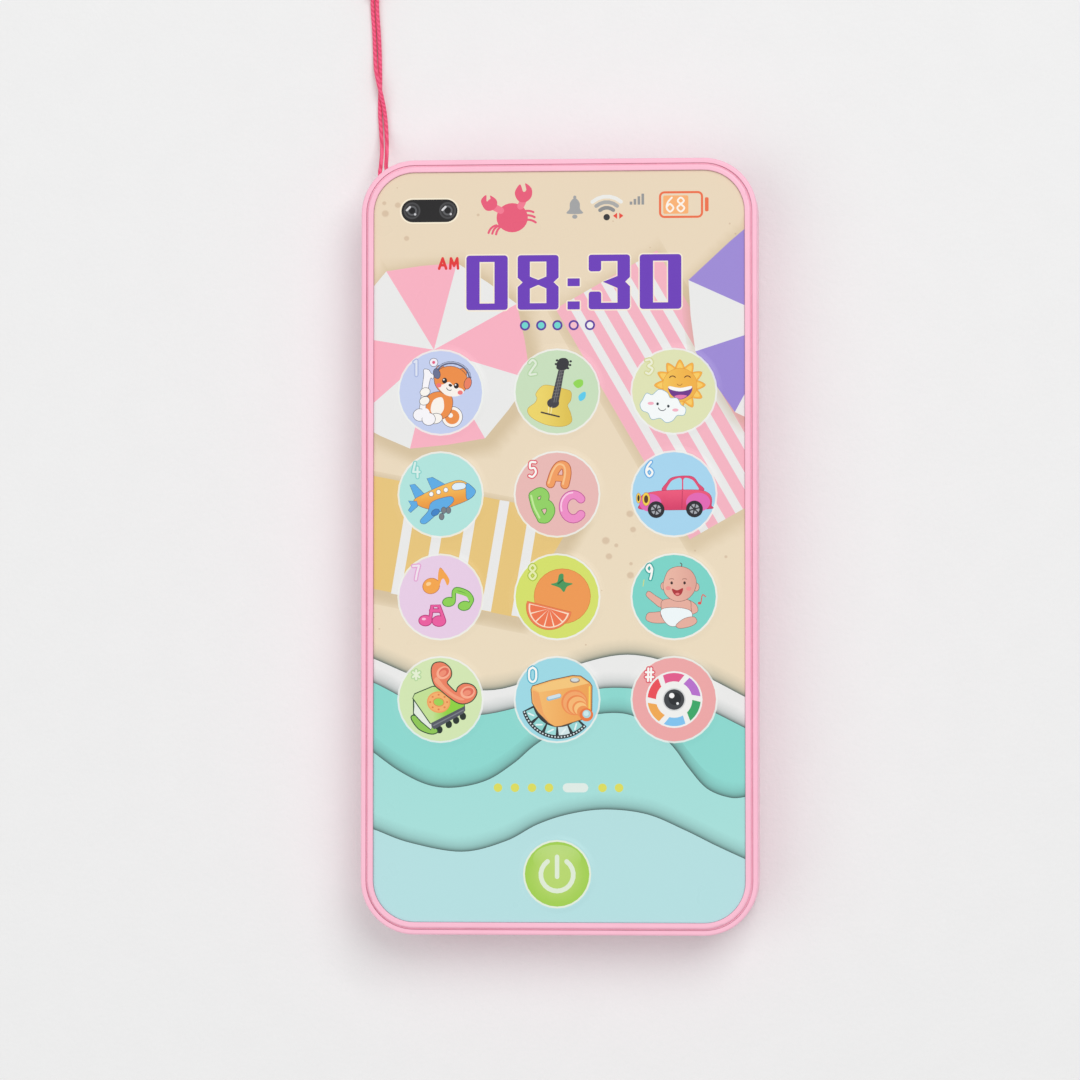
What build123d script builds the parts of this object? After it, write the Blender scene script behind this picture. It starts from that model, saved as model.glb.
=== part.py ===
from build123d import *
import math
import os

# Toy cell phone lying on its back. Millimetres. The origin is the middle of the back face,
# +X is the right of the screen, +Y its top edge and +Z points out of the screen.

os.makedirs("parts", exist_ok=True)

# ---- casing ---------------------------------------------------------------------
case_width = 75.8
case_length = 148.0
case_height = 14.0
corner_radius = 10.3
floor_top = 1.6            # inside of the rear shell's floor
wall = 1.9                 # rear shell's side wall
rim_wall = 0.95            # thin rim round the front frame
rim_top = 13.6
ledge_z = 8.8              # the front frame's skirt stands here
slip = 0.05                # sliding clearance between casing halves
groove_floor = 13.3        # bottom of the parting groove
rim_round = 0.4
lip_round = 0.45
lip_inner_round = 0.2
film_thickness = 0.35
lip_outer = 1.25           # inset of the front frame's lip
lip_inner = 2.4            # inset of the window that takes the film
back_round = 3.2
deck_bottom = 11.65
deck_top = 13.15
cut_through = 20.0         # depth of cuts that leave the part


def casing_at(inset):
    """Width, length and corner radius of the casing's outline drawn in by an inset."""
    return case_width - 2 * inset, case_length - 2 * inset, corner_radius - inset


# ---- keys -----------------------------------------------------------------------
key_pitch_x = 22.3
key_pitch_y = 19.55
key_pad_x = -0.3
key_pad_y = 0.1
key_names = ["1", "2", "3", "4", "5", "6", "7", "8", "9", "star", "0", "hash"]
key_places = {}
for index, key_name in enumerate(key_names):
    column = index % 3 - 1
    row = 1.5 - index // 3
    key_places["key_" + key_name] = (key_pad_x + column * key_pitch_x, key_pad_y + row * key_pitch_y)
power_place = (-0.3, -62.4)
key_places["power_key"] = power_place

cap_radius = 8.0
power_cap_radius = 6.2
well_gap = 0.25            # round the cap
film_relief = 1.3          # ring of shallow relief under the film, beyond the cap
relief_depth = 0.5
flange_extra = 0.8         # flange that holds the key under the deck
flange_bottom = 10.95
flange_top = 11.6
cap_top = 13.1
stem_radius = 2.0
stem_bottom = 10.45


def cap_radius_of(name):
    """Radius of a key's cap."""
    return power_cap_radius if name == "power_key" else cap_radius


# ---- board ----------------------------------------------------------------------
board_bottom = 8.7
board_top = 9.9
board_width = 57.0
board_low_y = -68.0
board_high_y = 46.0
dome_radius = 5.0
dome_rise = 0.5
dome_sheet = 0.2
board_corner = 2.0
board_hole_radius = 0.95
board_post_radius = 2.0
board_pilot_radius = 0.8
board_head_radius = 1.7
board_head_height = 1.2
board_shank_radius = 0.75
board_shank = 2.6
chip_place = (6.0, 2.0)
chip_radius = 5.5
chip_height = 1.3
component_height = 0.6
lamp_height = 1.5
lamp_round = 0.7
board_screw_places = [(-11.5, 19.7), (10.9, 19.7), (-11.5, -19.5), (10.9, -19.5), (-20.0, -58.0), (19.4, -58.0)]
lamp_pitch = 3.1
lamp_row = (-0.2, 42.2)
lamp_radius = 1.0

# ---- casing screws --------------------------------------------------------------
case_screw_pitch = (64.4, 56.0)
boss_radius = 2.9
boss_top = 8.0
screw_seat = 2.4
screw_head_radius = 2.2
screw_head_bottom = 0.9
screw_shank = 1.0

# ---- battery bay ----------------------------------------------------------------
bay_y = -38.0
cell_radius = 5.8
cell_pitch = 12.2
cell_bottom = 2.05
cell_top = 7.45
well_radius = 6.0
bay_roof = 7.7
door_size = (52.0, 22.0, 3.0)
door_bottom = 0.1
door_top = 1.5
door_gap = 0.2
door_screw_x = 22.6
door_head_radius = 2.0
door_head_bottom = 0.2
door_head_height = 0.9
door_seat_radius = 2.2
door_hole_radius = 1.15
door_shank_radius = 0.95
door_shank = 4.6
grip_slot = (16.0, 1.0)
grip_depth = 0.35
strip = 0.25               # contact sheet thickness
door_recess = 1.55
door_recess_corner = 3.2
door_frame = 3.6           # frame round the door, both sides together
door_frame_corner = 4.8
door_frame_top = 2.9
bay_wall = 3.2             # walls round the wells, both sides together
bay_wall_corner = 5.0
bay_top = 8.5
door_boss_radius = 2.6
door_boss_top = 6.6
door_pilot_radius = 1.05
door_pilot_depth = 6.0
bay_channel = 8.0          # passage between the wells
contact_slot = (3.0, 4.2)
contact_slot_x = 19.0
spring_slot = (1.5, 4.2)
spring_slot_x = 17.75
contact_width = 4.0
cell_cap_height = 0.5
cell_cap_radius = 4.5
cell_round = 0.3
link_length = 18.2

# ---- speaker --------------------------------------------------------------------
speaker_place = (0.0, 53.0)
speaker_radius = 13.5
grille_hole = 0.75
grille_ring = 2.6

# ---- lanyard --------------------------------------------------------------------
cord_diameter = 0.8
eyelet_angle = 131.0       # direction of the eyelet window, seen from the corner's centre
eyelet_half_width = 1.85
eyelet_low = 5.4
eyelet_high = 7.9
post_reach = 7.4           # distance of the eyelet post from the corner's centre
post_radius = 0.9
hitch_radius = 1.35        # the cord's bend round the post
cord_exit_z = 6.6

corner_x = corner_radius - case_width / 2
corner_y = case_length / 2 - corner_radius
eyelet_x = math.cos(math.radians(eyelet_angle))
eyelet_y = math.sin(math.radians(eyelet_angle))
eyelet_plane = Plane(origin=(corner_x, corner_y, 0), x_dir=(eyelet_x, eyelet_y, 0), z_dir=(0, 0, 1))

# =================================================================================
# Casing
# =================================================================================

# rear shell: a tray with the speaker grille, the battery bay, screw bosses and the eyelet
with BuildPart() as rear_shell:
    with BuildSketch(Plane.XY):
        RectangleRounded(*casing_at(0))
    extrude(amount=rim_top)
    fillet(rear_shell.edges().group_by(Axis.Z)[0], back_round)
    fillet(rear_shell.edges().group_by(Axis.Z)[-1], rim_round)
    with BuildSketch(Plane.XY.offset(floor_top)):
        RectangleRounded(*casing_at(wall))
    extrude(amount=cut_through, mode=Mode.SUBTRACT)
    with BuildSketch(Plane.XY.offset(ledge_z)):
        RectangleRounded(*casing_at(rim_wall))
    extrude(amount=cut_through, mode=Mode.SUBTRACT)

    # six bosses, each with a counterbore for the screw head
    with BuildSketch(Plane.XY.offset(floor_top)):
        with GridLocations(*case_screw_pitch, 2, 3):
            Circle(boss_radius)
    extrude(amount=boss_top - floor_top)
    with BuildSketch(Plane.XY):
        with GridLocations(*case_screw_pitch, 2, 3):
            Circle(screw_head_radius + 0.3)
    extrude(amount=screw_seat, mode=Mode.SUBTRACT)
    with BuildSketch(Plane.XY):
        with GridLocations(*case_screw_pitch, 2, 3):
            Circle(screw_shank + 0.25)
    extrude(amount=cut_through, mode=Mode.SUBTRACT)

    # battery bay: frame round the door, three wells in a row, a roof and two screw bosses
    with BuildSketch(Plane.XY):
        with Locations((0, bay_y)):
            RectangleRounded(door_size[0] + door_frame, door_size[1] + door_frame, door_frame_corner)
    extrude(amount=door_frame_top)
    with BuildSketch(Plane.XY.offset(floor_top)):
        with Locations((0, bay_y)):
            RectangleRounded(2 * cell_pitch + 2 * well_radius + bay_wall, 2 * well_radius + bay_wall - 0.2,
                             bay_wall_corner)
    extrude(amount=bay_top - floor_top)
    with BuildSketch(Plane.XY.offset(floor_top)):
        with Locations((-door_screw_x, bay_y), (door_screw_x, bay_y)):
            Circle(door_boss_radius)
    extrude(amount=door_boss_top - floor_top)
    with BuildSketch(Plane.XY):
        with Locations((0, bay_y)):
            RectangleRounded(door_size[0] + 2 * door_gap, door_size[1] + 2 * door_gap, door_recess_corner)
    extrude(amount=door_recess, mode=Mode.SUBTRACT)
    with BuildSketch(Plane.XY):
        with Locations((0, bay_y)):
            Rectangle(2 * cell_pitch, bay_channel)
            with GridLocations(cell_pitch, 1, 3, 1):
                Circle(well_radius)
    extrude(amount=bay_roof, mode=Mode.SUBTRACT)
    with BuildSketch(Plane.XY):
        with Locations((-door_screw_x, bay_y), (door_screw_x, bay_y)):
            Circle(door_pilot_radius)
    extrude(amount=door_pilot_depth, mode=Mode.SUBTRACT)
    # slots for the two end contacts
    with BuildSketch(Plane.XY.offset(cell_top - slip)):
        with Locations((-contact_slot_x, bay_y), (contact_slot_x, bay_y)):
            Rectangle(*contact_slot)
    extrude(amount=bay_roof - cell_top + slip, mode=Mode.SUBTRACT)
    with BuildSketch(Plane.XY.offset(door_recess)):
        with Locations((spring_slot_x, bay_y)):
            Rectangle(*spring_slot)
    extrude(amount=bay_roof - door_recess, mode=Mode.SUBTRACT)

    # speaker ring and grille
    with BuildSketch(Plane.XY.offset(floor_top)):
        with Locations(speaker_place):
            Circle(speaker_radius + 1.2)
            Circle(speaker_radius + 0.2, mode=Mode.SUBTRACT)
    extrude(amount=3.0)
    with BuildSketch(Plane.XY):
        with Locations(speaker_place):
            Circle(grille_hole)
            for ring in (1, 2, 3):
                with PolarLocations(ring * grille_ring, 6 * ring):
                    Circle(grille_hole)
    extrude(amount=floor_top, mode=Mode.SUBTRACT)

    # eyelet: a solid corner with a pocket behind the window, and a post across the pocket
    with BuildSketch(eyelet_plane.offset(floor_top)):
        with Locations((6.2, 0)):
            Rectangle(5.6, 7.0)
    extrude(amount=ledge_z - 0.1 - floor_top)
    with BuildSketch(eyelet_plane.offset(eyelet_low)):
        with Locations((8.4, 0)):
            Rectangle(7.0, 2 * eyelet_half_width)
    extrude(amount=eyelet_high - eyelet_low, mode=Mode.SUBTRACT)
    with BuildSketch(eyelet_plane.offset(eyelet_low - 0.1)):
        with Locations((post_reach, 0)):
            Circle(post_radius)
    extrude(amount=eyelet_high - eyelet_low + 0.2)
rear_shell.part.label = "rear_shell"
export_step(rear_shell.part, "parts/rear_shell.step")

# front frame: skirt inside the rim, raised lip, and a deck with a well for every key
with BuildPart() as front_frame:
    with BuildSketch(Plane.XY.offset(ledge_z)):
        RectangleRounded(*casing_at(rim_wall + slip))
    extrude(amount=groove_floor - ledge_z)
    with BuildSketch(Plane.XY.offset(groove_floor)):
        RectangleRounded(*casing_at(lip_outer))
    extrude(amount=case_height - groove_floor)
    fillet(front_frame.edges().group_by(Axis.Z)[-1], lip_round)
    with BuildSketch(Plane.XY.offset(deck_top)):
        RectangleRounded(*casing_at(lip_inner))
    extrude(amount=cut_through, mode=Mode.SUBTRACT)
    fillet(front_frame.edges().group_by(Axis.Z)[-1], lip_inner_round)
    with BuildSketch(Plane.XY.offset(ledge_z)):
        RectangleRounded(*casing_at(lip_inner))
    extrude(amount=deck_bottom - ledge_z, mode=Mode.SUBTRACT)

    # posts for the casing screws and for the board
    with BuildSketch(Plane.XY.offset(boss_top)):
        with GridLocations(*case_screw_pitch, 2, 3):
            Circle(2.4)
            Circle(screw_shank + slip, mode=Mode.SUBTRACT)
    extrude(amount=deck_bottom - boss_top)
    with BuildSketch(Plane.XY.offset(board_top)):
        with Locations(*board_screw_places):
            Circle(board_post_radius)
            Circle(board_pilot_radius, mode=Mode.SUBTRACT)
    extrude(amount=deck_bottom - board_top)

    # key wells with their shallow relief, and the holes over the lamps
    for name, place in key_places.items():
        with BuildSketch(Plane.XY.offset(deck_bottom)):
            with Locations(place):
                Circle(cap_radius_of(name) + well_gap)
        extrude(amount=cut_through, mode=Mode.SUBTRACT)
        with BuildSketch(Plane.XY.offset(deck_top - relief_depth)):
            with Locations(place):
                Circle(cap_radius_of(name) + film_relief)
        extrude(amount=cut_through, mode=Mode.SUBTRACT)
    with BuildSketch(Plane.XY.offset(deck_bottom)):
        with Locations(lamp_row):
            with GridLocations(lamp_pitch, 1, 5, 1):
                Circle(lamp_radius + 0.2)
    extrude(amount=cut_through, mode=Mode.SUBTRACT)
front_frame.part.label = "front_frame"
export_step(front_frame.part, "parts/front_frame.step")

# printed film that covers the deck
with BuildPart() as screen_film:
    with BuildSketch(Plane.XY.offset(deck_top)):
        RectangleRounded(*casing_at(lip_inner + slip))
    extrude(amount=film_thickness)
screen_film.part.label = "screen_film"
export_step(screen_film.part, "parts/screen_film.step")

# =================================================================================
# Keys and their snap domes
# =================================================================================

for name, place in key_places.items():
    cap = cap_radius_of(name)
    with BuildPart() as key:
        with BuildSketch(Plane.XY.offset(stem_bottom)):
            with Locations(place):
                Circle(stem_radius)
        extrude(amount=flange_bottom - stem_bottom)
        with BuildSketch(Plane.XY.offset(flange_bottom)):
            with Locations(place):
                Circle(cap + flange_extra)
        extrude(amount=flange_top - flange_bottom)
        with BuildSketch(Plane.XY.offset(flange_top)):
            with Locations(place):
                Circle(cap)
        extrude(amount=cap_top - flange_top)
        fillet(key.edges().group_by(Axis.Z)[-1], 0.3)
    key.part.label = name
    export_step(key.part, f"parts/{name}.step")

    # a thin spherical cap standing on the board
    sphere = (dome_radius ** 2 + dome_rise ** 2) / (2 * dome_rise)
    inner_edge = math.sqrt((sphere - dome_sheet) ** 2 - (sphere - dome_rise) ** 2)
    outer_middle = (dome_radius / 2, math.sqrt(sphere ** 2 - (dome_radius / 2) ** 2) - sphere + dome_rise)
    inner_middle = (inner_edge / 2, math.sqrt((sphere - dome_sheet) ** 2 - (inner_edge / 2) ** 2) - sphere + dome_rise)
    dome_plane = Plane(origin=(*place, board_top), x_dir=(1, 0, 0), z_dir=(0, -1, 0))
    with BuildPart() as dome:
        with BuildSketch(dome_plane):
            with BuildLine():
                ThreePointArc((0, dome_rise), outer_middle, (dome_radius, 0))
                Line((dome_radius, 0), (inner_edge, 0))
                ThreePointArc((inner_edge, 0), inner_middle, (0, dome_rise - dome_sheet))
                Line((0, dome_rise - dome_sheet), (0, dome_rise))
            make_face()
        revolve(axis=Axis((*place, 0), (0, 0, 1)))
    dome_name = name.replace("key_", "dome_") if name != "power_key" else "dome_power"
    dome.part.label = dome_name
    export_step(dome.part, f"parts/{dome_name}.step")

# =================================================================================
# Circuit board
# =================================================================================

with BuildPart() as main_board:
    with BuildSketch(Plane.XY.offset(board_bottom)):
        with Locations((0, (board_low_y + board_high_y) / 2)):
            RectangleRounded(board_width, board_high_y - board_low_y, board_corner)
        with Locations(*board_screw_places):
            Circle(board_hole_radius, mode=Mode.SUBTRACT)
    extrude(amount=board_top - board_bottom)
main_board.part.label = "main_board"
export_step(main_board.part, "parts/main_board.step")

# the sound chip under its drop of resin, below the board
with BuildPart() as chip_blob:
    with BuildSketch(Plane(origin=(*chip_place, board_bottom), x_dir=(1, 0, 0), z_dir=(0, -1, 0))):
        with BuildLine():
            ThreePointArc((0, -chip_height), (3.4, -0.9), (chip_radius, 0))
            Line((chip_radius, 0), (0, 0))
            Line((0, 0), (0, -chip_height))
        make_face()
    revolve(axis=Axis((*chip_place, 0), (0, 0, 1)))
chip_blob.part.label = "chip_blob"
export_step(chip_blob.part, "parts/chip_blob.step")

# small resistors and capacitors round the chip, below the board
with BuildPart() as board_components:
    with BuildSketch(Plane.XY.offset(board_bottom - component_height)):
        with Locations((16.5, 2.0)):
            with GridLocations(4.0, 3.0, 2, 3):
                Rectangle(2.0, 1.25)
        with Locations((-5.5, 2.0)):
            with GridLocations(3.0, 4.4, 1, 2):
                Rectangle(3.2, 1.6)
    extrude(amount=component_height)
board_components.part.label = "board_components"
export_step(board_components.part, "parts/board_components.step")

# five lamps in a row below the clock
with BuildPart() as lamps:
    with BuildSketch(Plane.XY.offset(board_top)):
        with Locations(lamp_row):
            with GridLocations(lamp_pitch, 1, 5, 1):
                Circle(lamp_radius)
    extrude(amount=lamp_height)
    fillet(lamps.edges().group_by(Axis.Z)[-1], lamp_round)
lamps.part.label = "lamps"
export_step(lamps.part, "parts/lamps.step")

# board screws, driven from below
with BuildPart() as board_screws:
    with BuildSketch(Plane.XY.offset(board_bottom - board_head_height)):
        with Locations(*board_screw_places):
            Circle(board_head_radius)
    extrude(amount=board_head_height)
    fillet(board_screws.edges().group_by(Axis.Z)[0], 0.4)
    with BuildSketch(Plane.XY.offset(board_bottom)):
        with Locations(*board_screw_places):
            Circle(board_shank_radius)
    extrude(amount=board_shank)
    with BuildSketch(Plane.XY.offset(board_bottom - board_head_height)):
        with Locations(*board_screw_places):
            Rectangle(2.2, 0.5)
            Rectangle(0.5, 2.2)
    extrude(amount=0.6, mode=Mode.SUBTRACT)
board_screws.part.label = "board_screws"
export_step(board_screws.part, "parts/board_screws.step")

# casing screws, driven from the back
with BuildPart() as case_screws:
    with BuildSketch(Plane.XY.offset(screw_head_bottom)):
        with GridLocations(*case_screw_pitch, 2, 3):
            Circle(screw_head_radius)
    extrude(amount=screw_seat - screw_head_bottom)
    fillet(case_screws.edges().group_by(Axis.Z)[0], 0.6)
    with BuildSketch(Plane.XY.offset(screw_seat)):
        with GridLocations(*case_screw_pitch, 2, 3):
            Circle(screw_shank)
    extrude(amount=8.0)
    chamfer(case_screws.edges().group_by(Axis.Z)[-1], 0.4)
    with BuildSketch(Plane.XY.offset(screw_head_bottom)):
        with GridLocations(*case_screw_pitch, 2, 3):
            Rectangle(2.6, 0.6)
            Rectangle(0.6, 2.6)
    extrude(amount=0.8, mode=Mode.SUBTRACT)
case_screws.part.label = "case_screws"
export_step(case_screws.part, "parts/case_screws.step")

# =================================================================================
# Speaker, facing the grille
# =================================================================================

speaker_plane = Plane(origin=(*speaker_place, floor_top), x_dir=(1, 0, 0), z_dir=(0, -1, 0))
speaker_axis = Axis((*speaker_place, 0), (0, 0, 1))

with BuildPart() as speaker_gasket:
    with BuildSketch(Plane.XY.offset(floor_top)):
        with Locations(speaker_place):
            Circle(speaker_radius)
            Circle(speaker_radius - 2.4, mode=Mode.SUBTRACT)
    extrude(amount=0.4)
speaker_gasket.part.label = "speaker_gasket"
export_step(speaker_gasket.part, "parts/speaker_gasket.step")

with BuildPart() as speaker_basket:
    with BuildSketch(speaker_plane):
        with BuildLine():
            Polyline((11.1, 0.4), (13.5, 0.4), (13.5, 1.2), (11.5, 1.2), (7.6, 3.4), (1.8, 3.4),
                     (1.8, 2.8), (7.2, 2.8), (11.1, 0.6), close=True)
        make_face()
    revolve(axis=speaker_axis)
speaker_basket.part.label = "speaker_basket"
export_step(speaker_basket.part, "parts/speaker_basket.step")

with BuildPart() as speaker_magnet:
    with BuildSketch(speaker_plane):
        with BuildLine():
            Polyline((0, 3.4), (6.0, 3.4), (6.0, 5.3), (5.7, 5.6), (0, 5.6), close=True)
        make_face()
    revolve(axis=speaker_axis)
speaker_magnet.part.label = "speaker_magnet"
export_step(speaker_magnet.part, "parts/speaker_magnet.step")

with BuildPart() as speaker_cone:
    with BuildSketch(speaker_plane):
        with BuildLine():
            Polyline((11.1, 0.2), (11.1, 0.45), (9.6, 0.45), (9.1, 0.85), (8.5, 0.75), (3.2, 2.2),
                     (2.4, 1.6), (0, 1.2), (0, 0.95), (2.5, 1.35), (3.3, 1.9), (8.5, 0.5),
                     (9.0, 0.6), (9.5, 0.2), close=True)
        make_face()
    revolve(axis=speaker_axis)
speaker_cone.part.label = "speaker_cone"
export_step(speaker_cone.part, "parts/speaker_cone.step")

# =================================================================================
# Battery bay: cells, contacts, door
# =================================================================================

# each cell has a wide can and a smaller cap; the middle one stands the other way up
for cell_index, cell_name in enumerate(["button_cell_left", "button_cell_middle", "button_cell_right"]):
    cell_x = (cell_index - 1) * cell_pitch
    cap_below = cell_index != 1
    cap_z = cell_bottom if cap_below else cell_top - cell_cap_height
    can_z = cell_bottom + cell_cap_height if cap_below else cell_bottom
    with BuildPart() as cell:
        with BuildSketch(Plane.XY.offset(can_z)):
            with Locations((cell_x, bay_y)):
                Circle(cell_radius)
        extrude(amount=cell_top - cell_bottom - cell_cap_height)
        fillet(cell.edges().filter_by(GeomType.CIRCLE), cell_round)
        with BuildSketch(Plane.XY.offset(cap_z)):
            with Locations((cell_x, bay_y)):
                Circle(cell_cap_radius)
        extrude(amount=cell_cap_height)
    cell.part.label = cell_name
    export_step(cell.part, f"parts/{cell_name}.step")

with BuildPart() as contact_plus:
    with BuildSketch(Plane.XY.offset(cell_top)):
        with Locations((-18.75, bay_y)):
            Rectangle(7.5, contact_width)
    extrude(amount=strip)
contact_plus.part.label = "contact_plus"
export_step(contact_plus.part, "parts/contact_plus.step")

with BuildPart() as contact_minus:
    with BuildSketch(Plane.XY.offset(cell_top)):
        with Locations((20.35, bay_y)):
            Rectangle(4.3, contact_width)
    extrude(amount=strip)
    with BuildSketch(Plane.XY.offset(cell_bottom - strip)):
        with Locations((18.325, bay_y)):
            Rectangle(strip, contact_width)
    extrude(amount=cell_top + 2 * strip - cell_bottom)
    with BuildSketch(Plane.XY.offset(cell_bottom - strip)):
        with Locations((16.7, bay_y)):
            Rectangle(3.5, contact_width)
    extrude(amount=strip)
contact_minus.part.label = "contact_minus"
export_step(contact_minus.part, "parts/contact_minus.step")

with BuildPart() as cell_link_top:
    with BuildSketch(Plane.XY.offset(cell_top)):
        with Locations((6.1, bay_y)):
            RectangleRounded(link_length, 5.0, 1.0)
    extrude(amount=strip)
cell_link_top.part.label = "cell_link_top"
export_step(cell_link_top.part, "parts/cell_link_top.step")

with BuildPart() as cell_link_door:
    with BuildSketch(Plane.XY.offset(door_top)):
        with Locations((-6.1, bay_y)):
            RectangleRounded(link_length, 6.0, 1.0)
    extrude(amount=strip)
    with BuildSketch(Plane.XY.offset(door_top + strip)):
        with Locations((-cell_pitch, bay_y), (0, bay_y)):
            Circle(1.6)
    extrude(amount=strip)
cell_link_door.part.label = "cell_link_door"
export_step(cell_link_door.part, "parts/cell_link_door.step")

with BuildPart() as battery_door:
    with BuildSketch(Plane.XY.offset(door_bottom)):
        with Locations((0, bay_y)):
            RectangleRounded(*door_size)
    extrude(amount=door_top - door_bottom)
    chamfer(battery_door.edges().group_by(Axis.Z)[0], 0.25)
    with BuildSketch(Plane.XY.offset(door_bottom)):
        with Locations((-door_screw_x, bay_y), (door_screw_x, bay_y)):
            Circle(door_seat_radius)
    extrude(amount=door_head_bottom - door_bottom + door_head_height, mode=Mode.SUBTRACT)
    with BuildSketch(Plane.XY.offset(door_bottom)):
        with Locations((-door_screw_x, bay_y), (door_screw_x, bay_y)):
            Circle(door_hole_radius)
    extrude(amount=cut_through, mode=Mode.SUBTRACT)
    # grip grooves
    with BuildSketch(Plane.XY.offset(door_bottom)):
        with Locations((0, bay_y)):
            with GridLocations(1, 2.4, 1, 5):
                SlotOverall(*grip_slot)
    extrude(amount=grip_depth, mode=Mode.SUBTRACT)
battery_door.part.label = "battery_door"
export_step(battery_door.part, "parts/battery_door.step")

with BuildPart() as door_screws:
    with BuildSketch(Plane.XY.offset(door_head_bottom)):
        with Locations((-door_screw_x, bay_y), (door_screw_x, bay_y)):
            Circle(door_head_radius)
    extrude(amount=door_head_height)
    fillet(door_screws.edges().group_by(Axis.Z)[0], 0.3)
    with BuildSketch(Plane.XY.offset(door_head_bottom + door_head_height)):
        with Locations((-door_screw_x, bay_y), (door_screw_x, bay_y)):
            Circle(door_shank_radius)
    extrude(amount=door_shank)
    with BuildSketch(Plane.XY.offset(door_head_bottom)):
        with Locations((-door_screw_x, bay_y), (door_screw_x, bay_y)):
            Rectangle(2.4, 0.55)
            Rectangle(0.55, 2.4)
    extrude(amount=0.5, mode=Mode.SUBTRACT)
door_screws.part.label = "door_screws"
export_step(door_screws.part, "parts/door_screws.step")

# =================================================================================
# Wires inside the casing
# =================================================================================

wire_diameter = 0.9
wire_bend = 1.2
wire_top = cell_top + strip + wire_diameter / 2
wire_routes = {
    "battery_wire_red": [(-21.4, -38.5, wire_top), (-21.4, -33.5, wire_top), (-22.5, -28.0, 5.2),
                         (-24.0, -22.0, 5.4), (-24.0, -22.0, board_bottom)],
    "battery_wire_black": [(21.4, -38.5, wire_top), (21.4, -33.5, wire_top), (22.7, -27.5, 5.0),
                           (24.0, -21.5, 5.4), (24.0, -21.5, board_bottom)],
    "speaker_wire_red": [(-2.0, 40.9, 2.8), (-2.0, 40.9, 5.6), (-3.6, 33.0, 5.8), (-3.6, 33.0, board_bottom)],
    "speaker_wire_black": [(2.0, 40.9, 2.8), (2.0, 40.9, 5.6), (3.4, 32.0, 5.9), (3.4, 32.0, board_bottom)],
}
for name, route in wire_routes.items():
    with BuildPart() as wire:
        with BuildLine() as wire_path:
            FilletPolyline(*route, radius=[wire_bend] * (len(route) - 2))
        with BuildSketch(Plane(origin=wire_path.line @ 0, z_dir=wire_path.line % 0)):
            Circle(wire_diameter / 2)
        sweep()
    wire.part.label = name
    export_step(wire.part, f"parts/{name}.step")
    print(name, "length", round(wire_path.wire().length, 2), "volume / section",
          round(wire.part.volume / (math.pi * wire_diameter ** 2 / 4), 2))

# =================================================================================
# Lanyard: one loop of thin cord, hitched round the eyelet post
# =================================================================================

floor_z = cord_diameter / 2
knot_radius = 1.35
knot_place = (-36.95, 109.0, knot_radius)
coil_place = (-36.95, 119.2)
coil_inner = 3.2
coil_outer = 5.8
coil_bottom = 0.25
coil_top = 2.85


def eyelet_point(reach, side):
    """A point of the eyelet's level, by its distance from the corner's centre and sideways."""
    return (corner_x + reach * eyelet_x - side * eyelet_y, corner_y + reach * eyelet_y + side * eyelet_x, cord_exit_z)


lanyard_routes = {
    "lanyard_strand_left": [
        eyelet_point(post_reach, hitch_radius), (-35.32, 71.44, 6.6), (-35.05, 74.0, 5.9), (-35.2, 77.3, 2.6),
        (-35.65, 81.2, 0.55), (-35.95, 85.0, floor_z), (-35.82, 90.0, floor_z), (-35.9, 96.0, floor_z),
        (-36.15, 100.8, floor_z), (-36.5, 105.2, floor_z), (-36.45, 109.0, 0.55), (-35.5, 111.6, 0.9),
        (-33.9, 114.4, 1.3)],
    "lanyard_strand_right": [
        eyelet_point(post_reach, -hitch_radius), (-34.12, 72.5, 6.6), (-34.2, 76.4, 3.2), (-34.5, 80.0, 0.75),
        (-34.75, 83.2, floor_z), (-35.05, 86.0, 0.9), (-35.5, 88.2, 1.6), (-36.1, 90.6, 1.6),
        (-36.7, 93.2, 0.9), (-36.88, 96.4, floor_z), (-37.05, 101.0, floor_z), (-37.4, 105.4, floor_z),
        (-37.4, 109.0, 0.55), (-38.4, 111.6, 0.9), (-40.0, 114.4, 1.3)],
}


def bend_radii(route):
    """The largest arcs that the route's runs allow, one for each corner."""
    radii = []
    for before, corner, after in zip(route, route[1:], route[2:]):
        run_in = Vector(*corner) - Vector(*before)
        run_out = Vector(*after) - Vector(*corner)
        half_turn = math.radians(run_in.get_angle(run_out) / 2)
        radii.append(0.45 * min(run_in.length, run_out.length) / math.tan(half_turn))
    return radii


for name, route in lanyard_routes.items():
    radii = bend_radii(route)
    with BuildPart() as strand:
        with BuildLine() as strand_path:
            FilletPolyline(*route, radius=radii)
        with BuildSketch(Plane(origin=strand_path.line @ 0, z_dir=strand_path.line % 0)):
            Circle(cord_diameter / 2)
        sweep()
    strand.part.label = name
    export_step(strand.part, f"parts/{name}.step")
    print(name, "radii", [round(radius, 1) for radius in radii])
    print(name, "length", round(strand_path.wire().length, 2), "volume / section",
          round(strand.part.volume / (math.pi * cord_diameter ** 2 / 4), 2))

# the bend round the post
with BuildPart() as lanyard_hitch:
    with BuildLine() as hitch_path:
        ThreePointArc(eyelet_point(post_reach, hitch_radius), eyelet_point(post_reach - hitch_radius, 0),
                      eyelet_point(post_reach, -hitch_radius))
    with BuildSketch(Plane(origin=hitch_path.line @ 0, z_dir=hitch_path.line % 0)):
        Circle(cord_diameter / 2)
    sweep()
lanyard_hitch.part.label = "lanyard_hitch"
export_step(lanyard_hitch.part, "parts/lanyard_hitch.step")

with BuildPart() as lanyard_knot:
    with Locations(knot_place):
        Sphere(knot_radius)
lanyard_knot.part.label = "lanyard_knot"
export_step(lanyard_knot.part, "parts/lanyard_knot.step")

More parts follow.
